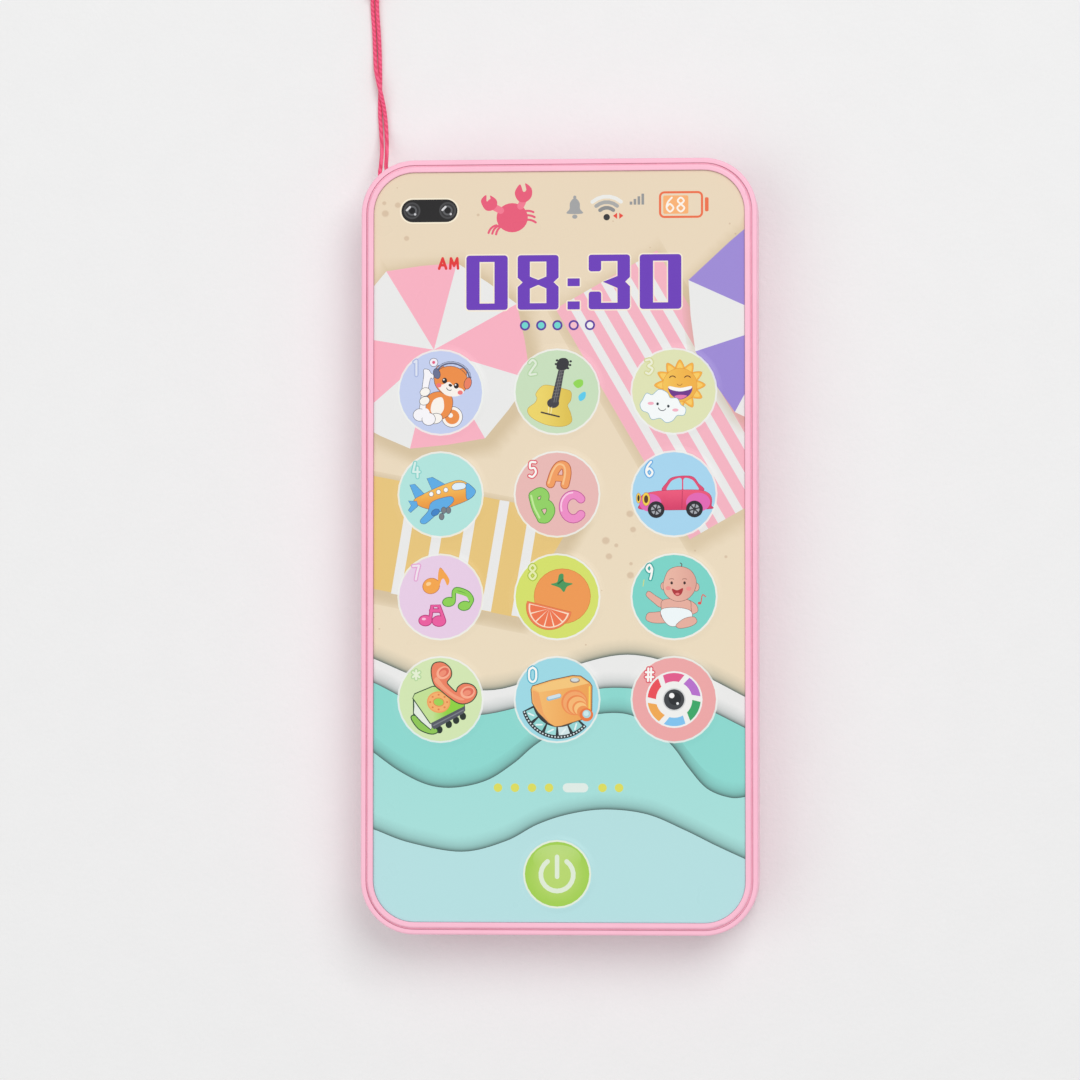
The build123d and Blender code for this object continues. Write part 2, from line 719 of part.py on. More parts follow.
# the rest of the loop, wound into a ring
with BuildPart() as lanyard_coil:
    with BuildSketch(Plane.XY.offset(coil_bottom)):
        with Locations(coil_place):
            Circle(coil_outer)
            Circle(coil_inner, mode=Mode.SUBTRACT)
    extrude(amount=coil_top - coil_bottom)
    fillet(lanyard_coil.edges(), 0.7)
lanyard_coil.part.label = "lanyard_coil"
export_step(lanyard_coil.part, "parts/lanyard_coil.step")

# a band that holds the turns together
tie_middle = (coil_place[0], coil_place[1] + (coil_inner + coil_outer) / 2, (coil_bottom + coil_top) / 2)
with BuildPart() as lanyard_tie:
    with BuildSketch(Plane(origin=tie_middle, x_dir=(0, 1, 0), z_dir=(1, 0, 0))):
        RectangleRounded(coil_outer - coil_inner + 0.5, coil_top - coil_bottom + 0.5, 0.9)
        RectangleRounded(coil_outer - coil_inner + 0.02, coil_top - coil_bottom + 0.02, 0.66, mode=Mode.SUBTRACT)
    extrude(amount=0.8, both=True)
lanyard_tie.part.label = "lanyard_tie"
export_step(lanyard_tie.part, "parts/lanyard_tie.step")
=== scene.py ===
import math
import random
import bpy
import bmesh
import numpy as np
from mathutils import Matrix, Vector
from mathutils.geometry import delaunay_2d_cdt


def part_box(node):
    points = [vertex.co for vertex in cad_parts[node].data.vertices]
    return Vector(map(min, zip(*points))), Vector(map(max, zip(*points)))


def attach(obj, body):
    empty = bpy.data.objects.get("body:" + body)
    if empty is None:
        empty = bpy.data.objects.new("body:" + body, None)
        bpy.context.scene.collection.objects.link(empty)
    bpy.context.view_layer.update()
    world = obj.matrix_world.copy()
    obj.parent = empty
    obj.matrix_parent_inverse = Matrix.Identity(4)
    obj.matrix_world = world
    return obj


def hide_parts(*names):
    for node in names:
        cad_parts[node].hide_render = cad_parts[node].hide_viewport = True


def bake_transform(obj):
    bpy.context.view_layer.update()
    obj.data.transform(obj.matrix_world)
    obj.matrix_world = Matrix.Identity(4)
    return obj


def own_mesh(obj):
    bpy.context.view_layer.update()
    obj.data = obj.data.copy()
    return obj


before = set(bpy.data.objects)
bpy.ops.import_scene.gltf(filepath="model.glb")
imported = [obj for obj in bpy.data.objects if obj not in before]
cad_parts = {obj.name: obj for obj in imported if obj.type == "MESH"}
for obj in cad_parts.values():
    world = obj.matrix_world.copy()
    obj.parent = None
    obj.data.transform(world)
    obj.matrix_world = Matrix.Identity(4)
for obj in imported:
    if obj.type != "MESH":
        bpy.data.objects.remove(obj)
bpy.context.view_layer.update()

MM = 0.001
scene = bpy.context.scene


def put(obj):
    """Link an object to the scene and return it."""
    scene.collection.objects.link(obj)
    return obj


# ---- camera ----
# almost straight above the screen, standing a little to its right
eye = Vector((65.5, -26.1, 860.5)) * MM
aim = Vector((-3.55, 1.15, 13.7)) * MM
forward = (aim - eye).normalized()
right = forward.cross(Vector((0, 1, 0))).normalized()
camera_data = bpy.data.cameras.new("camera")
camera_data.sensor_width = 36.0
camera_data.lens = 148.7
camera_data.clip_start = 0.01
camera = put(bpy.data.objects.new("camera", camera_data))
camera.matrix_world = Matrix((right, right.cross(forward), -forward)).transposed().to_4x4()
camera.location = eye
scene.camera = camera

# ---- lanyard cord ----
# One loop of thin cord: it starts behind the eyelet post, leaves by the window's left side,
# runs out over the floor, is wound into a coil and comes back by the window's right side.
# Points in millimetres, along the hitch and both strands' routes of the CAD model.
CORD = 0.8
HITCH_BACK = (-31.57, 68.27, 6.6)
LEFT_STRAND = [
    (-32.59, 67.38, 6.6), (-33.47, 68.40, 6.6), (-35.32, 71.44, 6.6), (-35.05, 74.0, 5.9), (-35.2, 77.3, 2.6),
    (-35.65, 81.2, 0.55), (-35.95, 85.0, 0.4), (-35.82, 90.0, 0.4), (-35.9, 96.0, 0.4), (-36.15, 100.8, 0.4),
    (-36.5, 105.2, 0.4), (-36.45, 109.0, 0.55), (-35.5, 111.6, 0.9), (-33.9, 114.4, 1.3)]
RIGHT_STRAND = [
    (-30.56, 69.15, 6.6), (-31.44, 70.17, 6.6), (-34.12, 72.5, 6.6), (-34.2, 76.4, 3.2), (-34.5, 80.0, 0.75),
    (-34.75, 83.2, 0.4), (-35.05, 86.0, 0.9), (-35.5, 88.2, 1.6), (-36.1, 90.6, 1.6), (-36.7, 93.2, 0.9),
    (-36.88, 96.4, 0.4), (-37.05, 101.0, 0.4), (-37.4, 105.4, 0.4), (-37.4, 109.0, 0.55), (-38.5, 111.4, 1.1)]
OVER_THE_COIL = [(-40.5, 117.3, 3.15), (-40.2, 115.4, 3.2), (-39.9, 113.7, 2.3)]
COIL_MIDDLE = (-36.95, 119.2)
COIL_TURNS = 7.5
TURNS_A_LAYER = 2.5
POINTS_A_TURN = 12
COIL_OUTER, COIL_INNER = 5.42, 3.62
COIL_HEIGHTS = (0.68, 1.55, 2.42)
LAYER_CHANGE = 0.1                 # share of a layer in which the cord climbs half a step


def coil_points():
    """Three layers of turns, wound inwards, outwards and inwards again, from right side to left side."""
    ring = []
    for step in range(int(COIL_TURNS * POINTS_A_TURN) + 1):
        turn = step / POINTS_A_TURN
        layer = min(int(turn / TURNS_A_LAYER), 2)
        along = turn / TURNS_A_LAYER - layer
        inward = along if layer != 1 else 1 - along
        radius = COIL_OUTER + (COIL_INNER - COIL_OUTER) * inward
        height = COIL_HEIGHTS[layer]
        if layer < 2 and along > 1 - LAYER_CHANGE:
            height += (COIL_HEIGHTS[layer + 1] - height) * (along - 1 + LAYER_CHANGE) / LAYER_CHANGE / 2
        elif layer > 0 and along < LAYER_CHANGE:
            height -= (height - COIL_HEIGHTS[layer - 1]) * (LAYER_CHANGE - along) / LAYER_CHANGE / 2
        angle = 2 * math.pi * turn
        ring.append((COIL_MIDDLE[0] + radius * math.cos(angle),
                     COIL_MIDDLE[1] + radius * math.sin(angle), height))
    return ring


cord_line = [HITCH_BACK] + LEFT_STRAND + coil_points() + OVER_THE_COIL + RIGHT_STRAND[::-1] + [HITCH_BACK]
cord_curve = bpy.data.curves.new("lanyard_cord", "CURVE")
cord_curve.dimensions = "3D"
cord_curve.bevel_depth = 1.0       # each point's radius gives the cord's own
cord_curve.bevel_resolution = 5
cord_curve.resolution_u = 6
cord_spline = cord_curve.splines.new("NURBS")
cord_spline.points.add(len(cord_line) - 1)
for place, point in zip(cord_line, cord_spline.points):
    point.co = (*(v * MM for v in place), 1.0)
    point.radius = CORD / 2 * MM
cord_spline.order_u = 3
cord_spline.use_endpoint_u = True
cord = put(bpy.data.objects.new("lanyard_cord", cord_curve))
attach(cord, "phone_body")
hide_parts("lanyard_strand_left", "lanyard_strand_right", "lanyard_hitch", "lanyard_coil")

# ---- materials ----
def rgb(colour):
    """Red, green and blue from 0 to 255, of six hex digits or of three numbers."""
    if isinstance(colour, str):
        colour = [int(colour[i:i + 2], 16) for i in (0, 2, 4)]
    return np.array(colour, float)


def scene_linear(display):
    """Scene-linear values of display values from 0 to 1."""
    return np.where(display <= 0.04045, display / 12.92, ((display + 0.055) / 1.055) ** 2.4)


class Recipe:
    """A material and short ways to add to its nodes."""

    def __init__(self, material):
        material.use_nodes = True
        self.material = material
        self.tree = material.node_tree
        self.shader = self.tree.nodes["Principled BSDF"]
        self.place = self.node("TexCoord")

    def node(self, kind, **inputs):
        return self.set(self.tree.nodes.new("ShaderNode" + kind), **inputs)

    def set(self, node, **inputs):
        for name, value in inputs.items():
            node.inputs[name.replace("_", " ")].default_value = value
        return node

    def link(self, source, output, target, socket):
        self.tree.links.new(source.outputs[output], target.inputs[socket])

    def noise(self, scale, detail):
        """A noise texture in the object's own space."""
        noise = self.node("TexNoise", Scale=scale, Detail=detail)
        self.link(self.place, "Object", noise, "Vector")
        return noise

    def gloss_and_relief(self, uneven, low, high, grain, strength, depth):
        """Roughness from one noise, bump from another."""
        gloss = self.node("MapRange", To_Min=low, To_Max=high)
        relief = self.node("Bump", Strength=strength, Distance=depth)
        self.link(uneven, "Fac", gloss, "Value")
        self.link(gloss, "Result", self.shader, "Roughness")
        self.link(grain, "Fac", relief, "Height")
        self.link(relief, "Normal", self.shader, "Normal")


def surface(name, colour, rough=0.4, metal=0.0, mottle=0.04, grain=900.0, bump=0.05, depth=0.00005, **inputs):
    """Principled material with mottled colour, uneven roughness and a fine moulded grain."""
    recipe = Recipe(bpy.data.materials.new(name))
    cloud, fine = recipe.noise(grain * 0.15, 4.0), recipe.noise(grain, 3.0)
    ramp = recipe.node("ValToRGB")
    for end, share, place in zip(ramp.color_ramp.elements, (1 - mottle, 1 + mottle), (0.3, 0.7)):
        end.color = (*np.minimum(scene_linear(rgb(colour) / 255) * share, 1.0), 1.0)
        end.position = place
    recipe.link(cloud, "Fac", ramp, "Fac")
    recipe.link(ramp, "Color", recipe.shader, "Base Color")
    recipe.gloss_and_relief(cloud, max(rough - 0.06, 0.03), min(rough + 0.06, 1.0), fine, bump, depth)
    recipe.set(recipe.shader, Metallic=metal, **inputs)
    return recipe.material


def braid(name, colour, groove_shade):
    """Twisted thread: fine slanted bands of painted shade for the twist's grooves, with a fibre bump."""
    recipe = Recipe(surface(name, colour, rough=0.6, mottle=0.12, grain=5000, bump=0.4, depth=0.0001,
                            Sheen_Weight=0.3))
    # the wave's bands mix the thread colour with a painted shade for the grooves of the twist
    wave = recipe.node("TexWave", Scale=700.0, Distortion=1.5, Detail_Scale=3.0)
    wave.bands_direction = "DIAGONAL"
    recipe.link(recipe.place, "Object", wave, "Vector")
    mix = recipe.node("Mix")
    mix.data_type = "RGBA"
    recipe.set(mix, A=(*scene_linear(rgb(groove_shade) / 255), 1.0), B=(*scene_linear(rgb(colour) / 255), 1.0))
    recipe.link(wave, "Fac", mix, "Factor")
    recipe.link(mix, "Result", recipe.shader, "Base Color")
    return recipe.material


symbols = ("1", "2", "3", "4", "5", "6", "7", "8", "9", "star", "0", "hash")
domes = {"key_" + symbol: "dome_" + symbol for symbol in symbols}
domes["power_key"] = "dome_power"
# each material's colour, its CAD nodes, then roughness, metal, mottle, grain, bump and depth
finishes = {
    "shell_plastic": ("ffc0d5", "rear_shell front_frame", 0.34, 0, 0.02, 900, 0.08),
    "door_plastic": ("ffbcd2", "battery_door", 0.38, 0, 0.02, 900, 0.1),
    "key_plastic": ("ece8e2", " ".join(domes), 0.45, 0, 0.02),
    "dome_metal": ("c8c8c6", " ".join(domes.values()), 0.28, 1, 0.04, 2500, 0.1),
    "board_mask": ("1e6e38", "main_board", 0.35, 0, 0.1, 900, 0.15),
    "resin": ("161619", "chip_blob", 0.18, 0, 0.1),
    "component_body": ("786042", "board_components", 0.5, 0, 0.2),
    "lamp_plastic": ("e2e8dc", "lamps", 0.12, 0, 0.03),
    "zinc": ("b2b4b8", "board_screws case_screws door_screws", 0.3, 1, 0.08, 2000, 0.15),
    "foam": ("28282c", "speaker_gasket", 0.95, 0, 0.25, 3000, 0.6),
    "speaker_paint": ("56585e", "speaker_basket", 0.4, 0.6),
    "magnet_plate": ("a0a2a8", "speaker_magnet", 0.25, 1, 0.04, 900, 0.1),
    "cone_paper": ("2a2828", "speaker_cone", 0.85, 0, 0.15, 2500, 0.5),
    "cell_metal": ("ced0d4", "button_cell_left button_cell_middle button_cell_right",
                   0.16, 1, 0.04, 3000, 0.06),
    "contact_metal": ("c6c0b0", "contact_plus contact_minus cell_link_top cell_link_door",
                      0.3, 1, 0.04, 2500, 0.1),
    "red_sheath": ("ce2826", "battery_wire_red speaker_wire_red", 0.35),
    "black_sheath": ("1c1c1e", "battery_wire_black speaker_wire_black", 0.35),
    "floor_paper": ("f0f0f0", "", 0.8, 0, 0.006, 900, 0.25, 0.0003),
}


def dress(nodes, material):
    """Give CAD nodes a material."""
    for node in nodes.split():
        for place in bpy.data.objects[node].material_slots:
            place.material = material


cord_thread = braid("cord_thread", "ff608c", "e23464")
cord.data.materials.append(cord_thread)
dress("lanyard_tie", cord_thread)
for name, (colour, nodes, *look) in finishes.items():
    dress(nodes, surface(name, colour, *look))


# ---- knot and tie of the lanyard ----
def skinned(name, rings, material, capped=False):
    """A smooth object with faces between rings of points in millimetres; a ring may be one point."""
    maker = bmesh.new()
    rings = [[maker.verts.new(Vector(point) * MM) for point in ring] for ring in rings]
    for one, two in zip(rings, rings[1:]):
        around = max(len(one), len(two))
        for i in range(around):
            j = i + 1
            quad = (one[i % len(one)], one[j % len(one)], two[j % len(two)], two[i % len(two)])
            maker.faces.new(list(dict.fromkeys(quad)))
    if capped:
        maker.faces.new(rings[0][::-1])
        maker.faces.new(rings[-1])
    bmesh.ops.recalc_face_normals(maker, faces=maker.faces)
    mesh = bpy.data.meshes.new(name)
    maker.to_mesh(mesh)
    maker.free()
    mesh.shade_smooth()
    mesh.materials.append(material)
    return put(bpy.data.objects.new(name, mesh))


def wound_knot(name, middle, wraps, radius, pitch):
    """A barrel knot: a tube wound round the strands, which run along Y, with its ends tucked in."""
    around, steps = 12, 20 * wraps
    path = []
    for step in range(steps + 1):
        along = step / steps
        tuck = min(1.0, 6 * along, 6 * (1 - along))
        angle = 2 * math.pi * wraps * along + math.pi / 2
        reach = radius * (0.55 + 0.45 * tuck)
        path.append(Vector((middle[0] + reach * math.cos(angle), middle[1] + pitch * wraps * (along - 0.5),
                            middle[2] + reach * math.sin(angle))))
    rings = []
    for here, before, after in zip(path, [path[0]] + path, path[1:] + [path[-1]]):
        ahead = (after - before).normalized()
        outward = (here - Vector((middle[0], here[1], middle[2]))).normalized()
        sideways = ahead.cross(outward).normalized()
        outward = sideways.cross(ahead)
        rings.append([here + (outward * math.cos(a) + sideways * math.sin(a)) * CORD / 2
                      for a in (2 * math.pi * i / around for i in range(around))])
    return skinned(name, rings, cord_thread, capped=True)


knot = wound_knot("lanyard_wound_knot", (-36.93, 109.0, 1.3), wraps=3, radius=0.88, pitch=0.8)
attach(knot, "phone_body")
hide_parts("lanyard_knot")

# ---- drawing tools ----
# The print is a list of flat shapes in millimetres, painted in order: (outline, colour, cover).
# Colour is six hex digits, three numbers or a function of x and y; cover is an opacity or a function.
art = []


def ring_points(x, y, rx, ry, turn=0.0, start=0.0, end=360.0, count=28):
    """Points of an ellipse's arc; turn tips the ellipse, in degrees."""
    full = abs(end - start) >= 360
    angles = np.radians(np.linspace(start, end, count, endpoint=not full))
    across = rx * np.cos(angles)
    along = ry * np.sin(angles)
    tip = math.radians(turn)
    return np.stack([x + across * math.cos(tip) - along * math.sin(tip),
                     y + across * math.sin(tip) + along * math.cos(tip)], axis=1)


def box_points(x, y, width, height, corner, steps=5):
    """A rectangle with round corners."""
    return np.vstack([ring_points(x + sx * (width / 2 - corner), y + sy * (height / 2 - corner), corner, corner,
                                  0, start, start + 90, steps)
                      for sx, sy, start in ((1, 1, 0), (-1, 1, 90), (-1, -1, 180), (1, -1, 270))])


def polar(x, y, reach, degrees):
    """The point at a distance and direction from x, y."""
    return x + reach * math.cos(math.radians(degrees)), y + reach * math.sin(math.radians(degrees))


def pairs(points):
    """Points as an array; they may be given as one flat list of x, y, x, y and so on."""
    return np.asarray(points, float).reshape(-1, 2)


def smooth(points, closed=True, steps=5):
    """A Catmull-Rom line through a few points."""
    points = pairs(points)
    if closed:
        padded = np.vstack([points[-1:], points, points[:2]])
    else:
        padded = np.vstack([2 * points[:1] - points[1:2], points, 2 * points[-1:] - points[-2:-1]])
    curve = []
    for a, b, c, d in zip(padded, padded[1:], padded[2:], padded[3:]):
        for t in np.arange(steps) / steps:
            curve.append(0.5 * (2 * b + (c - a) * t + (2 * a - 5 * b + 4 * c - d) * t * t
                                + (3 * b - a - 3 * c + d) * t ** 3))
    if not closed:
        curve.append(points[-1])
    return np.array(curve)


def band(points, width, closed=False):
    """Outline of a line drawn with a pen of that width, with round ends."""
    points = pairs(points)
    if closed:
        points = np.vstack([points, points[:1]])
    run = np.gradient(points, axis=0)
    if closed:
        run[0] = run[-1] = points[1] - points[-2]
    normal = np.stack([-run[:, 1], run[:, 0]], axis=1)
    normal /= np.maximum(np.linalg.norm(normal, axis=1, keepdims=True), 1e-9)
    side = normal * width / 2
    if closed:
        return np.vstack([points + side, (points - side)[::-1]])
    caps = []
    for centre, facing in ((points[-1], normal[-1]), (points[0], -normal[0])):
        first = math.degrees(math.atan2(facing[1], facing[0]))
        caps.append(ring_points(*centre, width / 2, width / 2, 0, first, first - 180, 7 if width < 2 else 17))
    return np.vstack([points + side, caps[0], (points - side)[::-1], caps[1]])


class Pen:
    """Draws shapes about one point of the screen. facet, wash and dab draw without the edge line."""

    def move(self, x, y, edge=None, edge_width=0.2):
        self.at = np.array([x, y])
        self.edge = edge
        self.edge_width = edge_width

    def on_key(self, symbol, edge=None, edge_width=0.2):
        self.move(*pads["key_" + symbol], edge, edge_width)

    def facet(self, points, colour, cover=1.0):
        art.append((pairs(points) + self.at, colour, cover))

    def shape(self, points, colour, cover=1.0):
        if self.edge is not None:
            art.append((band(pairs(points) + self.at, 2 * self.edge_width, closed=True), self.edge, 1.0))
        self.facet(points, colour, cover)

    def oval(self, x, y, rx, ry, colour, turn=0.0, cover=1.0):
        self.shape(ring_points(x, y, rx, ry, turn), colour, cover)

    def dab(self, x, y, rx, ry, colour, turn=0.0):
        self.facet(ring_points(x, y, rx, ry, turn), colour)

    def blob(self, points, colour):
        self.shape(smooth(points), colour)

    def wash(self, points, colour):
        self.facet(smooth(points), colour)

    def line(self, points, width, colour, curved=False, cover=1.0):
        if curved:
            points = smooth(points, closed=False)
        art.append((band(pairs(points) + self.at, width), colour, cover))

    def arc(self, x, y, rx, ry, start, end, width, colour, turn=0.0):
        count = max(6, int(abs(end - start) / 15))
        self.line(ring_points(x, y, rx, ry, turn, start, end, count), width, colour)


pen = Pen()
shape, facet, oval, dab, blob, wash = pen.shape, pen.facet, pen.oval, pen.dab, pen.blob, pen.wash
line, arc = pen.line, pen.arc


def discs(x, y, *rounds):
    """Round spots on one middle, each with its radius and colour."""
    for radius, colour in rounds:
        oval(x, y, radius, radius, colour)


def fade(start, end):
    """Rises smoothly from 0 at start to 1 at end."""
    def value(x):
        t = np.clip((x - start) / (end - start), 0, 1)
        return t * t * (3 - 2 * t)
    return value


def blend_tones(first, second, weight):
    """Colour function that goes from one display colour to another."""
    def colour(x, y):
        w = weight(x, y)[..., None]
        return rgb(first) * (1 - w) + rgb(second) * w
    return colour


def blend_x(first, second, start, end):
    """Goes from one colour to another along x."""
    return blend_tones(first, second, lambda x, y: fade(start, end)(x))


def blend_y(first, second, start, end):
    """Goes from one colour to another along y."""
    return blend_tones(first, second, lambda x, y: fade(start, end)(y))


def distance_to(outline, x, y):
    """Distance of points from a closed outline's line."""
    best = np.full(x.shape, 1e9)
    for (ax, ay), (bx, by) in zip(outline, np.roll(outline, -1, axis=0)):
        length = max((bx - ax) ** 2 + (by - ay) ** 2, 1e-9)
        t = np.clip(((x - ax) * (bx - ax) + (y - ay) * (by - ay)) / length, 0, 1)
        best = np.minimum(best, np.hypot(x - ax - t * (bx - ax), y - ay - t * (by - ay)))
    return best


def soft_shadow(outline, shift, reach, strength, colour="b0966a"):
    """A blurred shadow of an outline, moved by shift."""
    outline = np.asarray(outline, float) + np.array(shift)
    middle = outline.mean(axis=0)
    arms = outline - middle
    grown = middle + arms * (1 + reach / np.linalg.norm(arms, axis=1, keepdims=True).mean() * 1.25)
    art.append((outline, colour, strength))
    art.append((np.vstack([grown, grown[:1], outline[:1], outline[::-1]]), colour,
                lambda x, y: strength * (1 - fade(0, reach)(distance_to(outline, x, y)))))


# ---- beach ----
CREAM = "faeed6"
WHITE = "ebebea"

# sand with a few speckles
pen.move(0, 0)
shape([-40,-76, 40,-76, 40,76, -40,76], blend_y("edddc1", "ead8bd", -30, 70))
speckles = random.Random(5)
spots = [(-33.5, 65.8, 0.35), (-33.3, 63.8, 0.6), (-30.9, 65.4, 0.5), (-29.2, 59, 0.45), (13.6, 6.1, 0.6),
    (14.2, 3.1, 0.5), (9, 1, 0.65), (11, 0.1, 0.35), (9.6, -2, 0.55), (13.8, -3.4, 0.3), (13.7, -5.6, 0.6)]
spots += [(speckles.uniform(-35, 35), speckles.uniform(-20, 71), speckles.uniform(0.12, 0.3))
          for _ in range(24)]
for spot_x, spot_y, size in spots:
    oval(spot_x, spot_y, size * 1.25, size * 1.2, "d6bea2", cover=0.35)
    oval(spot_x, spot_y, size, size * 0.9, "c8aa8e", cover=0.35)

# striped towels
pink_towel = np.array([(-0.6, 45.3), (18.8, 56.3), (44.4, 12.2), (25, 1.2)])
soft_shadow(pink_towel, (0.5, -0.9), 3.2, 0.26)
shape(pink_towel, "f6b4c3")
across = (pink_towel[1] - pink_towel[0]) / 25.9
down = pink_towel[3] - pink_towel[0]
for stripe in range(5):
    near = pink_towel[0] + (2.8 + 4.4 * stripe) * across
    far = near + 1.9 * across
    shape([near, far, far + down, near + down], WHITE)
yellow_towel = [(-38, 14), (3.4, 6), (-8, -13.6), (-38, -7.6)]
soft_shadow(yellow_towel, (0.8, -1.1), 3, 0.36)
shape(yellow_towel, "e8c67c")
LEAN = 0.17
for stripe in range(5):
    foot = -30.6 + 5.95 * stripe
    top = 13 - 0.193 * (foot + 34.5)
    low = -8.3 - 0.177 * (foot + 34.5)
    shape([foot + LEAN * top, top, foot + 1.85 + LEAN * top, top - 0.3,
           foot + 1.85 + LEAN * low, low - 0.35, foot + LEAN * low, low], WHITE)

# beach umbrellas: rim corners round a hub, with alternate panels
umbrellas = [
    ((-23.9, 37.6), [(-33.1, 52.7), (-19.5, 54.2), (-8, 46.3), (-5.4, 31.9), (-14.1, 20.6), (-28.5, 18.7),
                     (-39.5, 24), (-42.5, 40.7)], "f9b2c3"),
    ((42.8, 42.4), [(40.7, 64.7), (24.8, 50.6), (26.1, 37), (33.6, 25.4), (46, 20)], "9d8ad6"),
]
for hub, corners, colour in umbrellas:
    rim = []
    for index, corner in enumerate(corners):
        after = corners[(index + 1) % len(corners)]
        bulge = np.array([(corner[0] + after[0]) / 2, (corner[1] + after[1]) / 2])
        out = (bulge - hub) / np.linalg.norm(bulge - hub)
        rim += [corner, tuple(bulge + out * 0.25)]
    soft_shadow(rim, (0.8, -0.9), 3.2, 0.34)
    for index in range(len(corners)):
        panel = [hub, rim[2 * index], rim[2 * index + 1], rim[(2 * index + 2) % len(rim)]]
        shape(panel, colour if index % 2 == 0 else WHITE)

# the sea: each layer's upper edge, its colour and its shadow on the layer above
sea = [
    ([-40,-19.5, -35.3,-21.5, -24,-26, -12.2,-27.4, 0.5,-23.5, 13.1,-20.7, 25,-23.6,
      35.6,-28.8, 40,-31], "ececeb", "ececeb"),
    ([-40,-24.6, -35.3,-26.1, -25,-31, -15.1,-32.2, -2,-29.3, 10.2,-27, 23,-28.9,
      35.6,-34.7, 40,-37], "8cd9d0", "92ddd5"),
    ([-40,-35.8, -35.1,-39.6, -30.3,-43, -25,-45.5, -19.8,-46, -13.7,-44.6, -8.5,-41.3,
      -4.1,-37.6, 3.5,-33, 11.5,-31.8, 17,-33.8, 21.6,-38, 24.7,-42.2, 28.2,-46.1,
      32.5,-47.8, 35.8,-47.6, 40,-46.5], "a3dfda", "aae2dd"),
    ([-40,-52.4, -35.1,-54.1, -28.5,-56.5, -18.5,-58.2, -10.2,-56.2, -4.1,-53, 2,-51,
      9,-50.1, 16.8,-51, 23.8,-53.9, 29.9,-56.9, 35.8,-59.6, 40,-61.5],
     "b4e0de", "b7e2e4"),
]
SEA_SHADOW = "3e5250"
shadow_steps = (0, 0.25, 0.6, 1.1, 1.9, 3.2)
for edge_points, upper_colour, lower_colour in sea:
    edge = smooth(edge_points, closed=False, steps=8)
    line_there = np.vstack([edge, edge[::-1]])

    def cover(x, y, line_there=line_there):
        """Dark at the edge, with a long weak tail."""
        away = distance_to(line_there, x, y)
        return 0.72 * np.exp(-away / 0.34) + 0.2 * (1 - fade(0, shadow_steps[-1])(away))
    for low, high in zip(shadow_steps, shadow_steps[1:]):
        shape(np.vstack([edge + (0, low), edge[::-1] + (0, high)]), SEA_SHADOW, cover)
    shape(np.vstack([edge, [(40, -76), (-40, -76)]]), blend_y(lower_colour, upper_colour, -70, -25))

# ---- status row ----
def pill(x, y, width, height, colour, cover=1):
    """A bar with round ends."""
    line([(x - width / 2 + height / 2, y), (x + width / 2 - height / 2, y)], height, colour, cover=cover)


pill(-24.8, 64.25, 11.4, 4.9, CREAM)
pill(-24.8, 64.25, 10.8, 4.35, "201f20")
for lens_x in (-28.15, -21.3):
    discs(lens_x, 64.3, (1.62, "464648"), (1.28, "303032"), (0.95, "5c5d60"), (0.62, "18181a"))
    line([(lens_x - 1, 64.4), (lens_x - 0.4, 65)], 0.4, "d6d6d8")
    oval(lens_x + 0.6, 63.6, 0.22, 0.22, "ceced2")

pen.move(-8.9, 62.8)
CRAB = "e95c7a"
oval(0, 0, 3, 2.8, CRAB)
line([-2.2,1.4, -3.6,2.2, -4.1,3], 1.3, "f47a92", curved=True)
line([1.6,2.2, 2,3, 2.2,3.9], 1.3, "f47a92", curved=True)
blob([-5.2,1.6, -6,3.3, -5,4.4, -4.9,3.2, -4.2,3.6, -4.2,4.3, -3,3.4, -3,2.2, -4,1.4], CRAB)
blob([1.2,3.2, 0.5,4.8, 1.5,6.4, 2.1,5, 2.7,5.3, 2.5,6.6, 3.7,5.6, 3.7,4, 2.6,3], CRAB)
for leg in range(3):
    arc(2.9, -0.7 + 0.85 * leg - 1.2, 2.1, 1.5, 40 + 8 * leg, 105, 0.42, CRAB)
    arc(-2.4 + 0.75 * leg - 0.3, -3.4, 1.9, 2, 100, 165 + 4 * leg, 0.42, CRAB)

GREY = "a3a4a5"
pen.move(3.1, 64.6)
blob([-1.5,-1.1, -1,-0.2, -0.9,1, 0,1.9, 0.9,1, 1,-0.2, 1.5,-1.1], GREY)
oval(0, -1.7, 0.5, 0.4, GREY)
oval(0, 2, 0.3, 0.35, GREY)

pen.move(0, 0)
for radius, colour in ((4.1, "ecece8"), (3, "aaaaa8"), (1.9, "8c8d8e")):
    arc(9.2, 62.7, radius, radius * 0.98, 48, 132, 0.72, colour)
oval(9.2, 62.75, 0.62, 0.62, "343436")
for flip in (-1, 1):
    shape([(11.4 + flip * 0.2, 63.6), (11.4 + flip * 0.2, 62.4), (11.4 + flip * 1, 63)], "e84a3c")
for bar in range(4):
    low = 65.1
    left = 13.6 + 0.75 * bar
    shape([(left, low), (left + 0.5, low), (left + 0.5, low + 0.6 + 0.5 * bar), (left, low + 0.6 + 0.5 * bar)],
        "969798")

ORANGE = "ee7048"
art.append((band(box_points(23.4, 65.05, 8, 4.7, 0.8), 0.42, closed=True), ORANGE, 1))
shape(box_points(22.4, 65.05, 4.8, 3.5, 0.3), "fab274")
shape(box_points(28.3, 65.05, 0.7, 2.7, 0.25), ORANGE)

